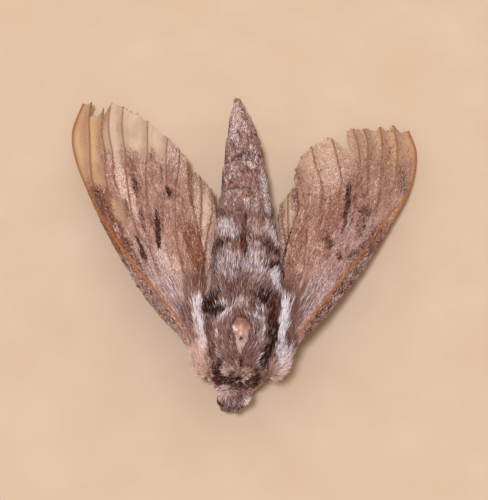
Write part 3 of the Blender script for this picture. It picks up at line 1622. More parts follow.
    def dress(self, skin: Mesh, groomer: Groomer, finishes: Looks) -> None:
        """Mark the skin and grow its coats.

        Args:
            skin: The skin, in millimetres.
            groomer: What grows the coats.
            finishes: The body's coat finish by name.
        """
        points = points_of(skin)
        y, z = points[:, 1], points[:, 2]
        masks = self.masks(points)
        write_masks(skin, masks)
        write_field(skin, "lie", self.lie(points))
        angle, reach = self.trunk.around(points)
        along = (y - self.unwrap_start) / self.unwrap_length
        write_unwrap(skin, np.stack([0.5 + angle / (2 * math.pi), along], axis=1), wraps=True)
        under = ease((1.9 - np.abs(angle)) / 0.5)
        lift = np.interp(y, [-6.5, -4.8, -3.8, -2.0, 3.0, 12.0, 20.0], [2.6, 2.4, 1.8, 1.0, 1.0, 0.8, 0.6])
        write_field(skin, "rise", lift)
        ahead, _ = self.bald_patch(points[:, :2] + np.array([0.0, 0.55]))
        clear = (1.0 - ease(np.maximum(masks[B], ahead) * 1.3)) * self.head.near_eye(points)
        head = ease((-4.5 - y) / 0.3)
        collar = ease((y + 4.9) / 0.3) * ease((-3.1 - y) / 0.4)
        shoulder = ease((reach - 1.0) / 0.06) * ease((2.5 - y) / 0.4) * (1 - head)
        shoulder = shoulder * ease((z - 3.5) / 0.8)
        thorax = ease((y + 3.6) / 0.4) * ease((7.6 - y) / 0.8) * (1 - shoulder)
        front = ease((y - 6.8) / 0.8) * ease((18.5 - y) / 3.0)
        rear = ease((y - 15.5) / 2.0)
        thorax, front, rear = (part * (0.45 + 0.55 * under) for part in (thorax, front, rear))
        coat = finishes["coat"]
        local = (points - np.array(self.head.centre)) @ self.head.turn
        longer = 1.0 + 0.14 * head * np.clip(local[:, 0], -1.0, 1.4)
        write_field(skin, "reach", self.coat_length(y) * (0.6 + 0.4 * under) * longer)
        brow = head * ease((np.abs(local[:, 0]) - 0.5) / 0.3) * ease((local[:, 2] - 0.1) / 0.3)
        plans = (
            (Coat("coat_head", HAIR, 300.0, 0.065, 0.09, 13.0, 36.0, 60.0, 0.5, seed=3), head),
            (Coat("coat_brow", HAIR, 220.0, 0.07, 0.09, 9.0, 16.0, 26.0, 0.6, 2.2, seed=9), brow),
            (Coat("coat_collar", HAIR, 220.0, 0.07, 0.1, 14.0, 30.0, 40.0, 0.7, 0.75, seed=4), collar),
            (Coat("coat_thorax", HAIR, 84.0, 0.068, 0.1, 13.0, 9.0, 40.0, 0.9, seed=5), thorax),
            (Coat("coat_shoulders", HAIR, 150.0, 0.056, 0.09, 12.0, 13.0, 44.0, 1.0, 1.55, seed=6), shoulder),
            (Coat("coat_abdomen_front", HAIR, 100.0, 0.068, 0.1, 12.0, 8.0, 36.0, 1.2, seed=7), front),
            (Coat("coat_abdomen_rear", SCALE, 165.0, 0.085, 0.14, 14.0, 26.0, 60.0, 0.8, 0.9, 8), rear),
        )
        for plan, cover in plans:
            groomer.grow(plan, skin, cover * clear, coat)


# ---- wings


@dataclass(frozen=True)
class Wear:
    """Where the worn margin falls short of its smooth line, or passes it where depth is negative."""

    start: float
    end: float
    slopes: Plan
    depth: float


@dataclass(frozen=True)
class Vein:
    """One vein: places along and across the wing, how far its fold stands up, and its ridge."""

    places: tuple[Plan, ...]
    fold: float
    amber: float = 0.0

    def across(self, along: Array) -> Array:
        """Where the vein crosses lines of equal distance along the wing."""
        return Path([(a, b, 0.0) for a, b in self.places], 20).across(along, 0)[..., 1]


@dataclass(frozen=True)
class Zone:
    """A soft-edged area of a wing, between fractions along and across it."""

    channel: Channel
    along: Plan
    across: Plan
    strength: float
    soft: float = 0.07

    def over(self, a: Array, b: Array) -> Array:
        """Strength of the area at each place."""
        inside = a - self.along[0], self.along[1] - a, 2 * (b - self.across[0]), 2 * (self.across[1] - b)
        return self.strength * ease(np.minimum.reduce(inside) / self.soft + 0.5)


def zones(*rows: tuple) -> tuple[Zone, ...]:
    """Areas from rows of channel, limits along, limits across, strength and softness."""
    return tuple(Zone(row[0], row[1:3], row[3:5], *row[5:]) for row in rows)


def cells(rows: int, columns: int) -> list[tuple[int, ...]]:
    """Faces between the points of a grid."""
    corners = (r * columns + c for r in range(rows - 1) for c in range(columns - 1))
    return [(k, k + 1, k + columns + 1, k + columns) for k in corners]


@dataclass(kw_only=True)
class Wing:
    """One wing: a thin pleated membrane between four edges, its veins, its marks and its scales."""

    name: str
    leading: tuple[Place, ...]
    margin: tuple[Place, ...]
    trailing: tuple[Place, ...]
    veins: tuple[Vein, ...]
    zones: tuple[Zone, ...]
    strokes: tuple[Stroke, ...]
    wear: tuple[Wear, ...] = ()
    camber: float = 0.45
    milk: float = 0.5
    film: float = 0.05
    ridge: float = 0.06
    edge_ridge: float = 0.13
    vein_width: float = 0.1
    worn: float = 0.16
    ragged: float = 0.12
    root_dip: float = 0.8
    rows: int = 170
    columns: int = 124
    scales_above: float = 110.0
    scales_below: float = 18.0
    seed: int = 1
    edges: dict[str, Path] = field(init=False)

    def __post_init__(self) -> None:
        """Run smooth lines through the edges."""
        self.edges = {key: Path(getattr(self, key)) for key in ("leading", "margin", "trailing")}

    def sheet(self, a: Array, b: Array) -> Array:
        """Places of the smooth sheet, blended from its four edges.

        Args:
            a: Fractions along the wing.
            b: Fractions across it.

        Returns:
            One place for each.
        """
        held = np.clip(a, 0.0, 1.0)
        lead, trail, rim = self.edges["leading"], self.edges["trailing"], self.edges["margin"]
        u, v = held[..., None], b[..., None]
        near_lead, near_trail, far_lead, far_trail = lead.at(0.0), trail.at(0.0), lead.at(1.0), trail.at(1.0)
        root = near_lead + (near_trail - near_lead) * v
        total = (1 - v) * lead.at(held) + v * trail.at(held) + (1 - u) * root + u * rim.at(b)
        total -= (1 - u) * ((1 - v) * near_lead + v * near_trail) + u * ((1 - v) * far_lead + v * far_trail)
        total[..., 2] += self.camber * np.sin(math.pi * b) * np.sin(math.pi * np.minimum(held, 0.98))
        total[..., 2] -= self.root_dip * np.exp(-((held / 0.025) ** 2))
        beyond = np.maximum(a - 1.0, 0.0)[..., None]
        if beyond.any():
            total = total + beyond / 0.02 * (total - self.sheet(np.full_like(a, 0.98), b))
        return total

    def width_at(self, a: Array) -> Array:
        """Width of the wing at fractions along it."""
        return np.linalg.norm(self.sheet(a, np.ones_like(a)) - self.sheet(a, np.zeros_like(a)), axis=-1)

    @staticmethod
    def flat(a: Array, b: Array) -> Array:
        """Places of a flat plan of the wing, for its patterns."""
        return np.stack([a.ravel() * WING_LENGTH, b.ravel() * WING_WIDTH, a.ravel() * 0], axis=1)

    def frame_at(self, a: Array, b: Array) -> tuple[Array, Array]:
        """Upward normals and outward directions of the sheet.

        Args:
            a: Fractions along the wing.
            b: Fractions across it.

        Returns:
            The normals and the directions.
        """
        step = 0.006
        inner, low = np.clip(a, step, 0.97), np.clip(b, step, 1 - step)
        along = self.sheet(inner + step, b) - self.sheet(inner - step, b)
        across = self.sheet(inner, low + step) - self.sheet(inner, low - step)
        normal = unit(np.cross(along, across))
        return np.where(normal[..., 2:] < 0, -normal, normal), unit(along)

    def margin_at(self, b: Array) -> Array:
        """How far along the sheet the worn margin lies.

        Args:
            b: Fractions across it.

        Returns:
            Fractions along the wing.
        """
        spans = self.sheet(np.ones_like(b), b) - self.sheet(np.zeros_like(b), b)
        length = np.linalg.norm(spans, axis=-1)
        loss = np.zeros_like(b)
        for worn in self.wear:
            slope = np.minimum((b - worn.start) / worn.slopes[0], (worn.end - b) / worn.slopes[1])
            loss += worn.depth * np.clip(slope, 0, 1)
        chord = self.edges["margin"].length
        for vein in self.veins:
            loss -= 0.16 * np.exp(-((((b - vein.across(np.array([0.99]))[0]) * chord) / 0.22) ** 2))
        noise = Mottle(self.seed + 40, (0.35, 1.0, 1.0))(np.stack([b * chord, b * 0, b * 0], axis=1))
        return 1.0 - (loss + self.worn + self.ragged * noise) / length

    def grid(self, rows: int, columns: int) -> tuple[Array, Array]:
        """Fractions along and across of a grid that ends on the worn margin.

        Args:
            rows: Rows of the grid.
            columns: Columns of the grid.

        Returns:
            Both fractions, in rows.
        """
        share, inner = 0.82, 0.87  # of the rows, and how far along they end
        b = np.linspace(0, 1, columns + 1)
        s = np.linspace(0, 1, rows + 1)
        steady = np.minimum(s / share, 1.0) * inner
        last = np.clip((s - share) / 0.18, 0, 1)[:, None]
        far = self.margin_at(b)[None, :]
        a = steady[:, None] * (1 - (last > 0)) + (last > 0) * (inner + (far - inner) * last)
        return a, np.repeat(b[None, :], rows + 1, axis=0)

    def relief(self, a: Array, b: Array) -> tuple[Array, Array, Array]:
        """Height of the pleats, closeness to a vein and closeness to the leading edge.

        Args:
            a: Fractions along the wing.
            b: Fractions across it.

        Returns:
            The three values at each place.
        """
        width = self.width_at(a)
        pleat, close = np.zeros_like(a), np.zeros_like(a)
        costa = np.exp(-((b * width / 0.32) ** 2)) * (0.15 + 0.85 * ease((a - 0.48) / 0.16))
        for vein in self.veins:
            distance = (b - vein.across(a)) * width
            shown = ease((a - vein.places[0][0] + 0.03) / 0.06)
            line = np.exp(-((distance / (self.vein_width * (1.0 + 1.1 * vein.amber))) ** 2)) * shown
            shown = shown * ease((vein.places[-1][0] + 0.05 - a) / 0.05)
            costa = np.maximum(costa, line * shown * vein.amber)
            close = np.maximum(close, line * (1.0 - vein.amber))
            pleat += 1.5 * vein.fold * np.exp(-((distance / 0.7) ** 2)) * shown
        rear = np.exp(-(((1.0 - b) * width / 0.15) ** 2)) * ease((a - 0.15) / 0.1) * 0.5
        return pleat, np.maximum(close, rear), costa

    def dust(self, a: Array, b: Array) -> Array:
        """How much grey dust of lost scales lies on the bare film: most of it beside the veins.

        Args:
            a: Fractions along the wing.
            b: Fractions across it.

        Returns:
            Its share at each place.
        """
        width = self.width_at(a)
        beside = np.zeros_like(a)
        for vein in self.veins:
            distance = (b - vein.across(a)) * width
            spread = np.where(distance < -0.28, 0.62, 0.3)
            beside = np.maximum(beside, np.exp(-(((distance + 0.28) / spread) ** 2)))
        cloud = Mottle(self.seed + 31, (2.2, 1.1, 1.0))(self.flat(a, b))
        return np.clip(0.85 * beside.ravel() + 0.5 * ease(cloud + 0.1), 0, 1)

    def masks(self, a: Array, b: Array, places: Array) -> Masks:
        """The wing's markings at each place.

        Args:
            a: Fractions along the wing.
            b: Fractions across it.
            places: Places of the sheet there.

        Returns:
            The masks by channel.
        """
        flat = places.reshape(-1, 3)
        direction = self.flat(a, b)
        wander = Mottle(self.seed + 20, (2.5, 1.0, 1.0))(direction)
        streak = Mottle(self.seed + 21, (1.1, 0.22, 1.0))(direction)
        cloud = Mottle(self.seed + 22, (3.2, 1.4, 1.0))(direction)
        u = a.ravel() + 0.035 * wander
        v = b.ravel() + 0.03 * np.roll(wander, 7)
        masks = flat_masks(len(flat))
        for zone in self.zones:
            lay(masks, zone.channel, zone.over(u, v))
        plan = flat[:, :2] + 0.16 * streak[:, None]
        moved = []
        for s in self.strokes:
            ends = self.sheet(np.array([s.start[0], s.end[0]]), np.array([s.start[1], s.end[1]]))
            start, end = ((float(x), float(y)) for x, y, _ in ends)
            moved.append(Stroke(s.channel, start, end, s.radius, s.strength, max(s.soft, GENTLE)))
        blend_strokes(moved, plan, masks)
        grit = Mottle(self.seed + 23, (0.3, 0.3, 1.0))(direction)
        masks[D] = np.clip(masks[D] + 0.2 * grit * (masks[D] > 0.1), 0, 1)
        coated = 1.0 - masks[B]
        marked = ease(masks[D] * 1.4)
        lay(masks, D, 0.42 * ease(streak * 1.6 - 0.1) * coated)
        masks[P] = np.maximum(masks[P], 0.38 * ease(-streak * 1.6 - 0.1)) * (1.0 - marked)
        masks[C] *= 1.0 - marked
        lay(masks, W, 0.5 * ease(cloud * 1.3 + 0.1) * coated)
        masks[B] = np.clip(masks[B] + 0.2 * masks[B] * streak, 0, 1)
        vein = np.sqrt(self.relief(a, b)[1]).ravel()
        lay(masks, W, 0.7 * vein)
        masks[P] *= 1.0 - 0.8 * vein
        return masks

    def build_membrane(self, bench: Bench, finish: Material) -> None:
        """Make and register the membrane.

        Args:
            bench: What registers the pieces.
            finish: Its material.
        """
        a, b = self.grid(self.rows, self.columns)
        base = self.sheet(a, b)
        normal, _ = self.frame_at(a, b)
        pleat, vein, costa = self.relief(a, b)
        half = self.film + self.ridge * vein + self.edge_ridge * costa
        fade = ease((a - 0.01) / 0.02)
        above = base + normal * (pleat + half)[..., None]
        below = base + normal * (pleat - half * (0.4 + 0.6 * fade))[..., None]
        rows, columns = a.shape
        count = rows * columns
        faces: list[tuple[int, ...]] = []
        for face in cells(rows, columns):
            faces += [face, tuple(count + face[k] for k in (0, 3, 2, 1))]
        far, last = rows - 1, columns - 1
        rim = [(0, c) for c in range(columns)] + [(r, last) for r in range(1, rows)]
        rim += [(far, c) for c in reversed(range(last))] + [(r, 0) for r in reversed(range(1, far))]
        loop = [r * columns + c for r, c in rim]
        for one, two in zip(loop, loop[1:] + loop[:1]):
            faces.append((two, one, one + count, two + count))
        shell = Shell(np.vstack([above.reshape(-1, 3), below.reshape(-1, 3)]), faces).outward()
        mesh = shell.mesh(self.name)
        masks = self.masks(a, b, base)
        milk = ease((a - 0.66) / 0.1) * ease((b - 0.2) / 0.06) * self.milk
        fields = {channel.value: np.clip(values, 0, 1) for channel, values in masks.items()}
        fields |= {"vein": vein.ravel(), "costa": costa.ravel(), "milk": milk.ravel()}
        fields["dust"] = self.dust(a, b)
        for name, values in fields.items():
            write_field(mesh, name, np.concatenate([values, values]))
        span = np.stack([a.ravel() * self.edges["leading"].length, b.ravel() * WING_WIDTH], axis=1)
        write_unwrap(mesh, np.vstack([span, span]))
        mesh.uv_layers["unwrap"].name = "span"
        bench.finish(f"{self.name}_membrane", mesh, Slot.WING, finish, [self.name])

    def carrier(self, above: bool) -> tuple[Mesh, dict[str, Array]]:
        """Open surface just over or under the membrane, for scales to grow on.

        Args:
            above: Whether it lies over the wing.

        Returns:
            The surface, and its values by name.
        """
        a, b = self.grid(self.rows // 2, self.columns)
        sign = 1.0 if above else -1.0
        base = self.sheet(a, b)
        normal, along = self.frame_at(a, b)
        pleat, vein, costa = self.relief(a, b)
        over = self.film + 0.05 * vein + 0.12 * costa
        places = base + normal * (pleat + sign * over)[..., None]
        order = cells(*a.shape)
        shell = Shell(places.reshape(-1, 3), order)
        p = shell.points
        facing = np.cross(p[order[0][1]] - p[order[0][0]], p[order[0][3]] - p[order[0][0]])[2]
        if (facing > 0) != above:
            shell = Shell(p, [face[::-1] for face in order])
        mesh = shell.mesh(f"{self.name}_carrier")
        masks = self.masks(a, b, base)
        write_masks(mesh, masks)
        write_field(mesh, "lie", along.reshape(-1, 3))
        write_field(mesh, "reach", np.ones(a.size))
        write_field(mesh, "rise", np.ones(a.size))
        write_unwrap(mesh, np.stack([a.ravel(), b.ravel()], axis=1))
        fields = {"a": a.ravel(), "b": b.ravel(), "vein": vein.ravel(), "costa": costa.ravel()}
        return mesh, fields | {channel.value: values for channel, values in masks.items()}

    def dress(self, groomer: Groomer, finishes: Looks, body_masks: Callable[[Array], Masks]) -> None:
        """Grow the scales above and below, and the long hair over the root.

        Args:
            groomer: What grows them.
            finishes: The finishes by name.
            body_masks: The body's markings at given points, which the hair of the root carries on.
        """
        name, seed = self.name, self.seed
        surface, at = self.carrier(True)
        kept = np.clip(1.0 - 1.06 * ease(at["bare"] * 1.2), 0, 1)
        thin = np.interp(at["a"], [0.0, 0.55, 0.75, 1.0], [1.0, 0.95, 0.55, 0.35])
        cover = kept * thin * (1.0 - 0.96 * at["vein"]) * (1.0 - 0.99 * np.sqrt(at["costa"]))
        cover = cover * (at["a"] > 0.02)
        size = (self.scales_above, 0.105, 0.12)
        scales = Coat(f"{name}_scales", SCALE, *size, 8.0, 8.0, 24.0, 1.5, 0.45, seed)
        groomer.grow(scales, surface, cover, finishes["wing"])
        if name.startswith("fore"):
            points = points_of(surface)
            near = body_masks(points)
            here = ease((0.1 - at["a"]) / 0.08)
            write_masks(surface, {c: near[c] * here + at[c.value] * (1.0 - here) for c in Channel})
            write_field(surface, "reach", np.interp(at["a"], [0.0, 0.1, 0.3], [1.5, 1.8, 1.0]))
            root = ease((0.24 - at["a"]) / 0.2) * ease((at["b"] - 0.24) / 0.14)
            hair = Coat(f"{name}_root_hair", HAIR, 70.0, 0.068, 0.09, 7.0, 9.0, 36.0, 1.0, 1.0, seed + 5)
            groomer.grow(hair, surface, root, finishes["coat"])
        else:
            inward = -np.sign(self.leading[0][0])
            direction = unit(np.array([0.55 * inward, 1.0, 0.0]))
            write_field(surface, "lie", np.tile(direction, (len(at["a"]), 1)))
            inner = ease((at["b"] - 0.8) / 0.15) * ease((0.8 - at["a"]) / 0.3)
            hair = Coat(f"{name}_inner_hair", HAIR, 90.0, 0.06, 0.08, 6.0, 9.0, 24.0, 0.4, 1.5, seed + 5)
            groomer.grow(hair, surface, inner, finishes["wing"])
        under, at = self.carrier(False)
        cover = (1.0 - 0.8 * ease(at["bare"] * 1.2)) * (1.0 - 0.7 * at["vein"]) * (at["a"] > 0.04)
        size = (self.scales_below, 0.2, 0.16)
        scales = Coat(f"{name}_underscales", SCALE, *size, 7.0, 9.0, 20.0, 1.5, 0.6, seed + 9)
        groomer.grow(scales, under, cover, finishes["wing"])


@dataclass(kw_only=True)
class HindWing(Wing):
    """A wing of the smaller pair."""

    camber: float = 0.2
    milk: float = 0.6
    root_dip: float = 0.3
    rows: int = 90
    columns: int = 80
    scales_above: float = 90.0
    scales_below: float = 16.0


FOREWING_RIGHT = Wing(
    name="forewing_right",
    leading=(
        (-5.5, -0.4, 6.9), (-9.8, 5.2, 5.3), (-14.3, 13.3, 3.9), (-17.6, 20.7, 2.7), (-19.6, 26.2, 1.9),
        (-20.15, 30.3, 1.4), (-19.2, 34.8, 1.0),
    ),
    margin=((-19.2, 34.8, 1.0), (-15.6, 34.5, 1.9), (-10.2, 30.7, 2.7), (-6.2, 26.2, 3.2)),
    trailing=((-4.3, 4.0, 7.3), (-4.0, 9.6, 7.0), (-4.9, 15.5, 5.7), (-5.8, 21.0, 4.3), (-6.2, 26.2, 3.2)),
    veins=(
        Vein(
            ((0.0, 0.22), (0.07, 0.2), (0.18, 0.17), (0.29, 0.1), (0.38, 0.06), (0.5, 0.03), (0.56, 0.0)),
            0.1, 1.0,
        ),
        Vein(((0.58, 0.03), (0.67, 0.07), (0.84, 0.13), (0.99, 0.07)), 0.1),
        Vein(((0.5, 0.09), (0.6, 0.15), (0.68, 0.18), (0.79, 0.23), (0.96, 0.19)), 0.12),
        Vein(((0.59, 0.24), (0.66, 0.24), (0.8, 0.29), (0.99, 0.22)), 0.06),
        Vein(
            (
                (0.25, 0.3), (0.3, 0.31), (0.36, 0.32), (0.41, 0.27), (0.51, 0.29), (0.67, 0.36),
                (0.82, 0.4), (0.99, 0.33),
            ),
            0.2,
        ),
        Vein(((0.51, 0.46), (0.78, 0.58), (0.87, 0.6), (0.99, 0.56)), 0.16),
        Vein(((0.58, 0.66), (0.75, 0.76), (1.01, 0.77)), 0.1),
        Vein(((0.24, 0.65), (0.34, 0.66), (0.53, 0.76), (0.87, 0.91)), -0.12),
        Vein(((0.65, 0.98), (0.76, 0.99), (1.01, 1.0)), 0.0),
    ),
    zones=zones(
        (B, 0.77, 1.3, 0.2, 0.42, 1.0, 0.16), (B, 0.79, 1.3, 0.36, 0.62, 1.0, 0.14),
        (B, 0.85, 1.3, 0.56, 0.79, 0.9, 0.14), (B, 0.62, 1.3, -0.5, 0.2, 0.9, 0.2),
        (P, 0.47, 0.85, 0.25, 0.37, 0.66, 0.2), (B, 0.5, 0.9, 0.27, 0.35, 0.45, 0.2),
        (P, 0.82, 1.3, 0.72, 1.2, 0.5, 0.2), (W, 0.1, 0.5, 0.78, 1.3, 0.85, 0.2),
        (P, 0.02, 0.36, 0.3, 0.6, 0.3, 0.2), (C, 0.02, 0.36, 0.05, 0.5, 0.3, 0.2),
        (D, 0.02, 0.42, -0.4, 0.17, 0.44, 0.08), (W, 0.36, 0.66, -0.4, 0.16, 0.8, 0.1),
        (C, 0.02, 0.38, -0.4, 0.2, 0.4, 0.08),
    ),
    strokes=strokes(
        (D, 0.675, 0.75, 0.635, 0.75, 0.42, 1.0), (D, 0.67, 0.42, 0.58, 0.4, 0.32, 0.7),
        (D, 0.52, 0.39, 0.42, 0.34, 0.26, 0.55), (D, 0.52, 0.55, 0.345, 0.42, 0.29, 1.0),
        (D, 0.4, 0.24, 0.31, 0.22, 0.27, 1.0), (D, 0.64, 0.05, 0.49, 0.09, 0.5, 0.5),
        (D, 0.56, 0.26, 0.48, 0.22, 0.4, 0.5), (B, 0.57, 0.17, 0.47, 0.2, 0.7, 0.74, 1.2),
        (P, 0.35, 0.42, 0.24, 0.46, 0.7, 0.55), (P, 0.3, 0.58, 0.1, 0.5, 0.4, 0.55),
    ),
    wear=(
        Wear(0.075, 0.225, (0.015, 0.015), 2.3),
        Wear(0.165, 0.2, (0.0175, 0.0175), -1.3),
        Wear(0.43, 0.5, (0.03, 0.04), -0.4),
    ),
    milk=0.9,
    seed=101,
)

FOREWING_LEFT = Wing(
    name="forewing_left",
    leading=(
        (6.2, 0.0, 6.9), (10.3, 5.3, 5.5), (14.4, 11.6, 4.2), (18.2, 18.6, 3.1), (21.1, 24.7, 2.2),
        (22.15, 29.9, 1.5), (21.5, 33.7, 1.0),
    ),
    margin=(
        (21.5, 33.7, 1.0), (17.6, 33.3, 1.4), (13.6, 32.5, 1.9), (10.0, 30.3, 2.5), (7.5, 27.3, 2.9),
        (6.7, 24.1, 3.3),
    ),
    trailing=((4.9, 4.2, 7.4), (4.8, 10.2, 7.2), (6.0, 15.6, 5.9), (7.1, 19.3, 4.8), (6.7, 24.1, 3.3)),
    veins=(
        Vein(
            ((0.0, 0.18), (0.07, 0.17), (0.2, 0.15), (0.33, 0.12), (0.44, 0.09), (0.6, 0.06), (0.72, 0.0)),
            0.1, 1.0,
        ),
        Vein(((0.76, 0.13), (0.89, 0.13), (1.03, 0.09)), 0.08),
        Vein(((0.6, 0.15), (0.67, 0.19), (0.84, 0.24), (1.02, 0.19)), 0.14),
        Vein(((0.66, 0.28), (0.83, 0.33), (1.0, 0.3)), 0.08),
        Vein(((0.5, 0.3), (0.62, 0.34), (0.73, 0.39), (1.01, 0.38)), 0.16),
        Vein(((0.58, 0.45), (0.64, 0.49), (0.87, 0.55), (1.0, 0.54)), 0.12),
        Vein(((0.53, 0.6), (0.84, 0.72), (0.99, 0.71)), 0.16),
        Vein(((0.3, 0.62), (0.42, 0.67), (0.79, 0.91), (0.99, 0.91)), -0.12),
    ),
    zones=zones(
        (B, 0.8, 1.4, -0.5, 0.62, 0.62, 0.34), (B, 0.76, 1.4, 0.5, 0.9, 0.5, 0.3),
        (P, 0.66, 1.4, 0.46, 0.78, 0.54, 0.24), (W, 0.44, 0.76, 0.34, 0.62, 0.55, 0.2),
        (C, 0.04, 0.5, -0.4, 0.14, 0.6, 0.1), (D, 0.03, 0.56, -0.4, 0.14, 0.53, 0.08),
        (C, 0.02, 0.34, 0.14, 0.5, 0.35, 0.2), (C, 0.4, 0.58, 0.12, 0.4, 0.3, 0.2),
        (D, 0.4, 0.66, 0.1, 0.36, 0.2, 0.2), (W, 0.15, 0.6, 0.68, 1.3, 0.5, 0.3),
        (D, 0.0, 0.2, 0.75, 1.3, 0.35, 0.2), (D, 0.16, 0.7, 0.962, 1.5, 0.95, 0.03),
        (W, 0.7, 1.4, -0.5, 0.45, 0.35, 0.3),
    ),
    strokes=strokes(
        (D, 0.72, 0.445, 0.55, 0.37, 0.34, 0.9), (D, 0.55, 0.37, 0.47, 0.34, 0.28, 0.7),
        (D, 0.44, 0.45, 0.385, 0.39, 0.55, 0.75), (D, 0.36, 0.39, 0.34, 0.38, 0.4, 0.6),
        (D, 0.39, 0.27, 0.36, 0.25, 0.5, 0.6), (D, 0.42, 0.17, 0.38, 0.17, 0.5, 0.65),
        (D, 0.92, 0.18, 0.88, 0.18, 0.7, 0.4), (D, 0.63, 0.23, 0.56, 0.24, 0.8, 0.55),
        (D, 0.56, 0.21, 0.48, 0.2, 0.7, 0.5, 0.9), (D, 0.82, 0.1, 0.71, 0.0, 0.8, 0.45),
        (D, 0.56, 0.08, 0.45, 0.1, 0.7, 0.4),
    ),
    wear=(
        Wear(0.065, 0.125, (0.03, 0.03), -0.9),
        Wear(0.16, 0.215, (0.03, 0.025), -0.6),
        Wear(0.26, 0.305, (0.025, 0.02), -0.4),
        Wear(0.425, 0.56, (0.02, 0.115), 3.1),
    ),
    milk=0.35,
    seed=202,
)

HINDWING_RIGHT = HindWing(
    name="hindwing_right",
    leading=((-4.75, 2.6, 6.0), (-7.6, 10.0, 5.0), (-9.6, 16.6, 3.6), (-10.4, 22.0, 2.3)),
    margin=((-10.4, 22.0, 2.3), (-8.4, 24.9, 2.5), (-5.5, 24.5, 2.8), (-3.3, 21.9, 3.2), (-2.75, 19.4, 3.7)),
    trailing=((-3.8, 5.6, 6.0), (-3.35, 9.5, 5.6), (-2.95, 13.5, 5.0), (-2.6, 17.0, 4.4), (-2.75, 19.4, 3.7)),
    veins=(
        Vein(((0.2, 0.4), (0.6, 0.5), (0.99, 0.5)), 0.1),
        Vein(((0.2, 0.6), (0.59, 0.64), (0.99, 0.62)), 0.12),
        Vein(((0.2, 0.72), (0.59, 0.79), (0.7, 0.83), (0.86, 0.81), (0.99, 0.8)), 0.14),
    ),
    zones=zones(
        (P, -0.5, 1.4, -0.5, 1.5, 0.55, 0.2), (W, 0.3, 1.4, 0.3, 0.62, 0.45, 0.4),
        (D, 0.86, 1.4, -0.5, 1.5, 0.35, 0.2), (B, 0.5, 1.4, 0.4, 1.5, 0.35, 0.3),
    ),
    strokes=strokes((P, 0.95, 0.72, 0.6, 0.7, 0.4, 0.9)),
    seed=303,
)

HINDWING_LEFT = HindWing(
    name="hindwing_left",
    leading=((5.7, 3.0, 6.0), (8.4, 10.0, 5.0), (10.1, 16.0, 3.6), (10.6, 21.0, 2.3)),
    margin=((10.6, 21.0, 2.3), (8.9, 23.8, 2.5), (6.7, 22.9, 2.8), (5.2, 20.2, 3.3), (4.6, 18.3, 3.8)),
    trailing=((5.3, 5.8, 6.0), (5.15, 11.0, 5.5), (4.85, 15.0, 4.8), (4.6, 18.3, 3.8)),
    veins=(
        Vein(((0.2, 0.4), (0.6, 0.5), (0.99, 0.48)), 0.1),
        Vein(((0.3, 0.7), (0.65, 0.75), (1.01, 0.64)), 0.14),
        Vein(((0.3, 0.82), (0.76, 0.87), (1.01, 0.81)), 0.14),
    ),
    zones=zones(
        (P, -0.5, 1.4, -0.5, 1.5, 0.42, 0.2), (W, -0.5, 1.4, -0.5, 1.5, 0.35, 0.2),
        (D, 0.84, 1.4, -0.5, 1.5, 0.3, 0.2), (B, 0.6, 1.4, 0.6, 0.8, 0.7, 0.3),
    ),
    strokes=strokes((P, 0.95, 0.66, 0.6, 0.68, 0.4, 0.9)),
    seed=404,
)


# ---- legs and feelers


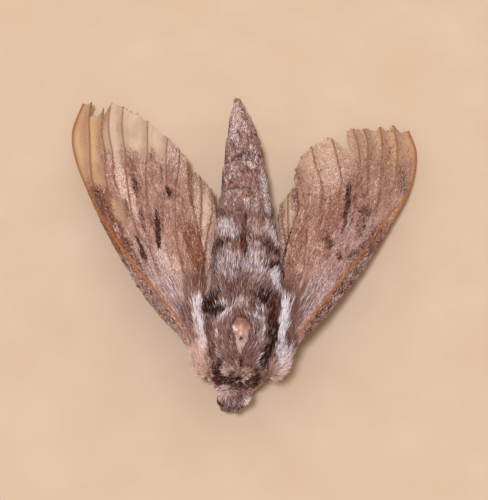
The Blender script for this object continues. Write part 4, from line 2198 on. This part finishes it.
@dataclass(frozen=True)
class Leg:
    """One pair of legs. Places give the distance out from the trunk's middle, then Y and height."""

    name: str
    hip: Place
    knee: Place
    ankle: Place
    toe: Plan
    thigh: float
    shin: float
    foot: float
    spurs: tuple[float, ...] = ()
    spur: Place = (1.1, 0.11, 0.1)  # length, half width, bend
    claw: Plan = (0.42, 0.09)
    joints: tuple[float, ...] = (0.0, 0.4, 0.62, 0.78, 0.9, 1.0)
    flat: float = 0.86

    def segment(self, start: Array, end: Array, radius: float, swell: tuple[float, ...]) -> tuple:
        """One straight segment whose half width runs through the given shares of its radius.

        Args:
            start: Middle of its first end.
            end: Middle of its other end.
            radius: Its half width.
            swell: The shares, from start to end.

        Returns:
            The surface and its directions.
        """
        t = np.linspace(0, 1, 12)
        radii = radius * np.interp(t, np.linspace(0, 1, len(swell)), swell)
        return limb(start + (end - start) * t[:, None], radii, 16, self.flat)

    def hook(self, start: Array, along: Array, length: float, radius: float, drop: float) -> tuple:
        """A spur or claw that bends down towards its point.

        Args:
            start: Its root.
            along: Where it points.
            length: Its length.
            radius: Half its width at the root.
            drop: How far it bends down.

        Returns:
            The surface and its directions.
        """
        t = np.linspace(0, 1, 7)
        line = start + along * (t * length)[:, None] - UP * (drop * t**2)[:, None]
        return limb(line, radius * (1.0 - 0.92 * t), 8)

    def parts(self, trunk: Trunk, side: Side) -> dict[str, tuple[Shell, Array]]:
        """Every segment, spur and claw with the direction it runs in.

        Args:
            trunk: The body that the leg hangs from.
            side: Which side the leg stands on.

        Returns:
            The surfaces and their directions, by the node that each belongs to.
        """
        hip, knee, ankle = (trunk.outward(*place, side) for place in (self.hip, self.knee, self.ankle))
        toe = trunk.outward(self.toe[0], self.toe[1], 0.0, side)
        heel = ankle + (toe - ankle) * 0.07
        lift = self.foot * self.flat
        heel[2], toe[2] = lift, lift
        groups: dict[str, list] = {"femur": [], "tibia": [], "tarsus": []}
        groups["femur"].append(self.segment(hip, knee, self.thigh * 0.86, (0.95, 1.0, 0.9, 0.7)))
        shin = unit(ankle - knee)
        out = unit(np.cross(shin, UP))
        upper = knee - shin * 0.2
        groups["tibia"].append(self.segment(upper, ankle, self.shin * 0.84, (0.7, 0.85, 0.95, 1.0)))
        for share in self.spurs:
            base = knee + (ankle - knee) * share
            for sign in (-1, 1):
                aim = unit(shin + 0.35 * sign * out)
                groups["tibia"].append(self.hook(base + out * sign * 0.15, aim, *self.spur))
        foot = toe - heel
        for start, end in zip(self.joints, self.joints[1:]):
            near, far = heel + foot * (start + 0.006), heel + foot * (end - 0.004)
            groups["tarsus"].append(self.segment(near, far, self.foot, (0.66, 0.8, 0.88, 1.0)))
        ahead, aside = unit(foot), unit(np.cross(foot, UP))
        for sign in (-1, 1):
            aim = unit(ahead + 0.5 * sign * aside)
            start = toe - ahead * 0.3 + aside * sign * 0.1
            groups["tarsus"].append(self.hook(start, aim, *self.claw, lift * 0.75))
        return {node: self.joined(shells) for node, shells in groups.items()}

    @staticmethod
    def joined(parts: list[tuple[Shell, Array]]) -> tuple[Shell, Array]:
        """Several surfaces and their directions as one.

        Args:
            parts: The surfaces with their directions.

        Returns:
            The whole.
        """
        total, directions = parts[0]
        for shell, along in parts[1:]:
            total, directions = total + shell, np.vstack([directions, along])
        return total, directions

    def build(self, trunk: Trunk, bench: Bench, groomer: Groomer, finishes: Looks) -> None:
        """Make and register both legs of the pair and their scales.

        Args:
            trunk: The trunk that they hang from.
            bench: What registers the pieces.
            groomer: What grows the coats.
            finishes: The finishes by name.
        """
        for side in Side:
            parts = self.parts(trunk, side)
            nodes = [f"{self.name}_{node}_{side.word}" for node in parts]
            whole, directions = self.joined(list(parts.values()))
            mesh = whole.mesh(f"{self.name}_leg_{side.word}")
            points, normals = points_of(mesh), normals_of(mesh)
            height, upward = points[:, 2], normals[:, 2]
            write_field(mesh, "lie", directions)
            write_field(mesh, "rise", np.ones(len(points)))
            write_field(mesh, "reach", np.interp(height, [0.2, 0.7, 1.2, 2.6], [0.12, 0.36, 0.7, 1.4]))
            noise = Mottle(77, (0.5, 0.5, 0.5))(points)
            masks = flat_masks(len(points))
            masks[D] = 0.75 * ease(noise * 1.3 + 0.3)
            masks[P] = 0.6 * ease(-noise * 1.4 - 0.1)
            write_masks(mesh, masks)
            round_leg = np.arctan2(normals[:, 0], upward) / 7.0 + 0.5
            write_unwrap(mesh, np.stack([round_leg, (points[:, 1] + 5.0) / 30.0], axis=1))
            low = ease((height - 0.16) / 0.1)
            clear = low * np.maximum(ease((upward + 0.55) / 0.25), ease((height - 0.9) / 0.4))
            name = f"{self.name}_leg_scales_{side.word}"
            coat = Coat(name, SCALE, 46.0, 0.15, 0.18, 16.0, 16.0, 20.0, seed=31)
            groomer.grow(coat, mesh, clear, finishes["coat"])
            name = f"{self.name}_leg_spines_{side.word}"
            spines = Coat(name, HAIR, 5.0, 0.06, 0.1, 42.0, 20.0, 20.0, seed=32)
            foot = low * ease((0.85 - height) / 0.2) * ease((upward + 0.1) / 0.2)
            write_field(mesh, "reach", np.full(len(points), 0.34))
            groomer.grow(spines, mesh, foot, finishes["cuticle"])
            for spent in ("lie", "rise", "reach", "cover"):
                mesh.attributes.remove(mesh.attributes[spent])
            bench.finish(f"{self.name}_leg_{side.word}", mesh, Slot.CUTICLE, finishes["cuticle"], nodes)


@dataclass(frozen=True)
class Feelers:
    """The pair of feelers, ringed and scaled, folded back along the sides."""

    places: tuple[Place, ...] = (
        (0.9, -4.7, 4.3), (1.75, -3.75, 3.3), (3.2, -2.0, 3.4), (4.8, 0.8, 3.8), (6.4, 4.6, 3.7),
        (8.0, 8.8, 3.3),
    )
    shaft: float = 0.33
    tip: float = 0.16
    rings: int = 46

    def build(self, trunk: Trunk, groomer: Groomer, tree: Tree, finishes: Looks) -> None:
        """Make and register both feelers and their scales.

        Args:
            trunk: The trunk that they lie along.
            groomer: What grows the coats.
            tree: Tree that makes rings.
            finishes: The finishes by name.
        """
        for side in Side:
            knots = np.array([trunk.outward(*place, side) for place in self.places])
            t = np.linspace(0.0, 1.0, 80)
            line = Path(knots).at(t)
            values = {"Rings": self.rings, "Shaft": self.shaft, "Tip": self.tip, "Taper": 3.0, "Groove": 0.22}
            values |= {"Sides": 14, "Finish": finishes["cuticle"]}
            name = f"antenna_{side.word}"
            shaft = run_line(line, tree, values)
            groomer.bench.finish(f"{name}_shaft", shaft, Slot.CUTICLE, None, [name])
            radii = self.shaft + (self.tip - self.shaft) * t**3
            shell, along = limb(line, radii * 0.97, 14)
            mesh = shell.mesh(f"{name}_carrier")
            points, normals = points_of(mesh), normals_of(mesh)
            write_field(mesh, "lie", along)
            write_field(mesh, "rise", np.ones(len(points)))
            write_field(mesh, "reach", np.full(len(points), 0.45))
            masks = flat_masks(len(points))
            masks[P] = np.full(len(points), 0.65)
            write_masks(mesh, masks)
            write_unwrap(mesh, np.stack([normals[:, 0] * 0.45 + 0.5, (points[:, 1] + 6.0) / 16.0], axis=1))
            coat = Coat(f"{name}_scales", SCALE, 42.0, 0.13, 0.14, 12.0, 8.0, 10.0, seed=41)
            groomer.grow(coat, mesh, ease((normals[:, 2] + 0.2) / 0.3), finishes["coat"])
            bpy.data.meshes.remove(mesh)


# ---- studio


@dataclass(frozen=True)
class Studio:
    """Pale floor, soft light and the camera. Lengths in millimetres, angles in degrees."""

    aim: Place = (1.065, 15.85, 0.0)  # in the moth's own axes
    distance: float = 168.51
    azimuth: float = 8.227
    elevation: float = 59.37
    roll: float = 10.34
    lens: float = 102.5
    sensor: float = 36.0
    sun_from: Place = (-0.22, -0.38, 1.0)
    sun_power: float = 2.26
    sun_spread: float = 9.0
    sun_colour: Place = (0.76, 0.865, 1.0)
    sky_power: float = 0.5
    sky_colour: Colour = (1.0, 0.86, 0.68, 1.0)
    floor_half: float = 0.6  # metres

    def build_floor(self) -> None:
        """Lay the floor."""
        half = self.floor_half
        mesh = bpy.data.meshes.new("floor")
        corners = [(-half, -half, 0), (half, -half, 0), (half, half, 0), (-half, half, 0)]
        mesh.from_pydata(corners, [], [(0, 1, 2, 3)])
        mesh.materials.append(FloorFinish("floor").build())
        placed("floor", mesh)

    def build_light(self) -> None:
        """Hang the key light and the soft surround."""
        key = bpy.data.lights.new("key", "SUN")
        key.energy = self.sun_power
        key.angle = math.radians(self.sun_spread)
        key.color = self.sun_colour
        placed("key", key).rotation_euler = Vector(self.sun_from).to_track_quat("Z", "Y").to_euler()
        world = bpy.data.worlds.new("surround")
        world.use_nodes = True
        backdrop = world.node_tree.nodes["Background"]
        backdrop.inputs["Color"].default_value = self.sky_colour
        backdrop.inputs["Strength"].default_value = self.sky_power
        bpy.context.scene.world = world
        bpy.context.scene.view_settings.view_transform = "Standard"

    def build_camera(self, shift: Array) -> None:
        """Set the camera, with the moth's own axes shifted in the frame.

        Args:
            shift: The shift, in millimetres.
        """
        azimuth, elevation = math.radians(self.azimuth), math.radians(self.elevation)
        level = math.cos(elevation)
        forward = Vector((math.sin(azimuth) * level, math.cos(azimuth) * level, -math.sin(elevation)))
        turn = Matrix.Rotation(math.radians(self.roll), 3, -forward)
        right = turn @ forward.cross(Vector((0.0, 0.0, 1.0))).normalized()
        up = right.cross(forward)
        camera = bpy.data.cameras.new("camera")
        camera.lens = self.lens
        camera.sensor_width = self.sensor
        camera.clip_start = 0.01
        camera.clip_end = 10.0
        stand = placed("camera", camera)
        pose = Matrix((right, up, -forward)).transposed().to_4x4()
        pose.translation = (Vector(self.aim) + Vector(shift) - forward * self.distance) * MM
        stand.matrix_world = pose
        bpy.context.scene.camera = stand


# ---- the moth


@dataclass
class HawkMoth:
    """The whole moth."""

    trunk: Trunk = field(default_factory=Trunk)
    head: Head = field(default_factory=Head)
    wings: tuple[Wing, ...] = (FOREWING_RIGHT, FOREWING_LEFT, HINDWING_RIGHT, HINDWING_LEFT)
    legs: tuple[Leg, ...] = (
        Leg("fore", (1.4, -2.0, 2.7), (3.2, -1.3, 2.1), (4.0, 0.5, 0.75), (4.8, 4.8), 0.62, 0.48, 0.36),
        Leg("mid", (2.0, 0.9, 2.6), (4.9, 2.4, 2.4), (7.1, 5.4, 0.8), (9.1, 10.4), 0.66, 0.5, 0.37, (0.95,)),
        Leg(
            "hind", (2.0, 3.7, 2.6), (5.0, 7.6, 2.9), (6.3, 13.6, 0.85), (7.0, 21.4), 0.7, 0.52, 0.38,
            (0.6, 0.97),
        ),
    )
    feelers: Feelers = field(default_factory=Feelers)

    def shift(self) -> Array:
        """Where the moth's own axes lie in the shared frame, from its eyes.

        Returns:
            The shift, in millimetres.
        """
        boxes = [[np.array(corner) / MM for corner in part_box(f"eye_{side.word}")] for side in Side]
        seen = np.mean([np.mean(box, axis=0) for box in boxes], axis=0)
        drawn = np.mean([self.head.eye_centre(side) for side in Side], axis=0)
        return np.array([*(seen - drawn)[:2], 0.0])

    def build(self) -> None:
        """Make every piece, from the skin outwards."""
        shift = self.shift()
        LOG.info("moth's axes in the frame: %s mm", np.round(shift, 3))
        bench = Bench(shift)
        Finish.prepare()
        finishes = {
            "coat": CoatFinish("coat", BODY_COLOURS).build(),
            "skin": SkinFinish("skin", BODY_COLOURS).build(),
            "wing": CoatFinish("wing_scales", WING_COLOURS, (1.0, 0.6, 1.0), 5200.0, contrast=0.7).build(),
            "membrane": MembraneFinish("wing_membrane", WING_COLOURS).build(),
            "eye": EyeFinish("eye").build(),
            "cuticle": CuticleFinish("cuticle").build(),
        }
        groomer = Groomer(bench)
        rings = ringed_tree()
        body = Body(self.trunk, self.head)
        skin = body.build_skin()
        body.dress(skin, groomer, finishes)
        bench.finish("body_skin", skin, Slot.COAT, finishes["skin"], body.replaced())
        self.head.build_eyes(bench, finishes["eye"])
        self.head.build_tongue(bench, rings, finishes["cuticle"])
        for wing in self.wings:
            wing.build_membrane(bench, finishes["membrane"])
            wing.dress(groomer, finishes, body.masks)
        for leg in self.legs:
            leg.build(self.trunk, bench, groomer, finishes)
        self.feelers.build(self.trunk, groomer, rings, finishes)
        groomer.close()


def main() -> None:
    """Build the moth and the studio round it."""
    logging.basicConfig(level=logging.INFO, format="%(message)s")
    moth = HawkMoth()
    moth.build()
    studio = Studio()
    studio.build_floor()
    studio.build_light()
    studio.build_camera(moth.shift())


if __name__ == "__main__":
    main()
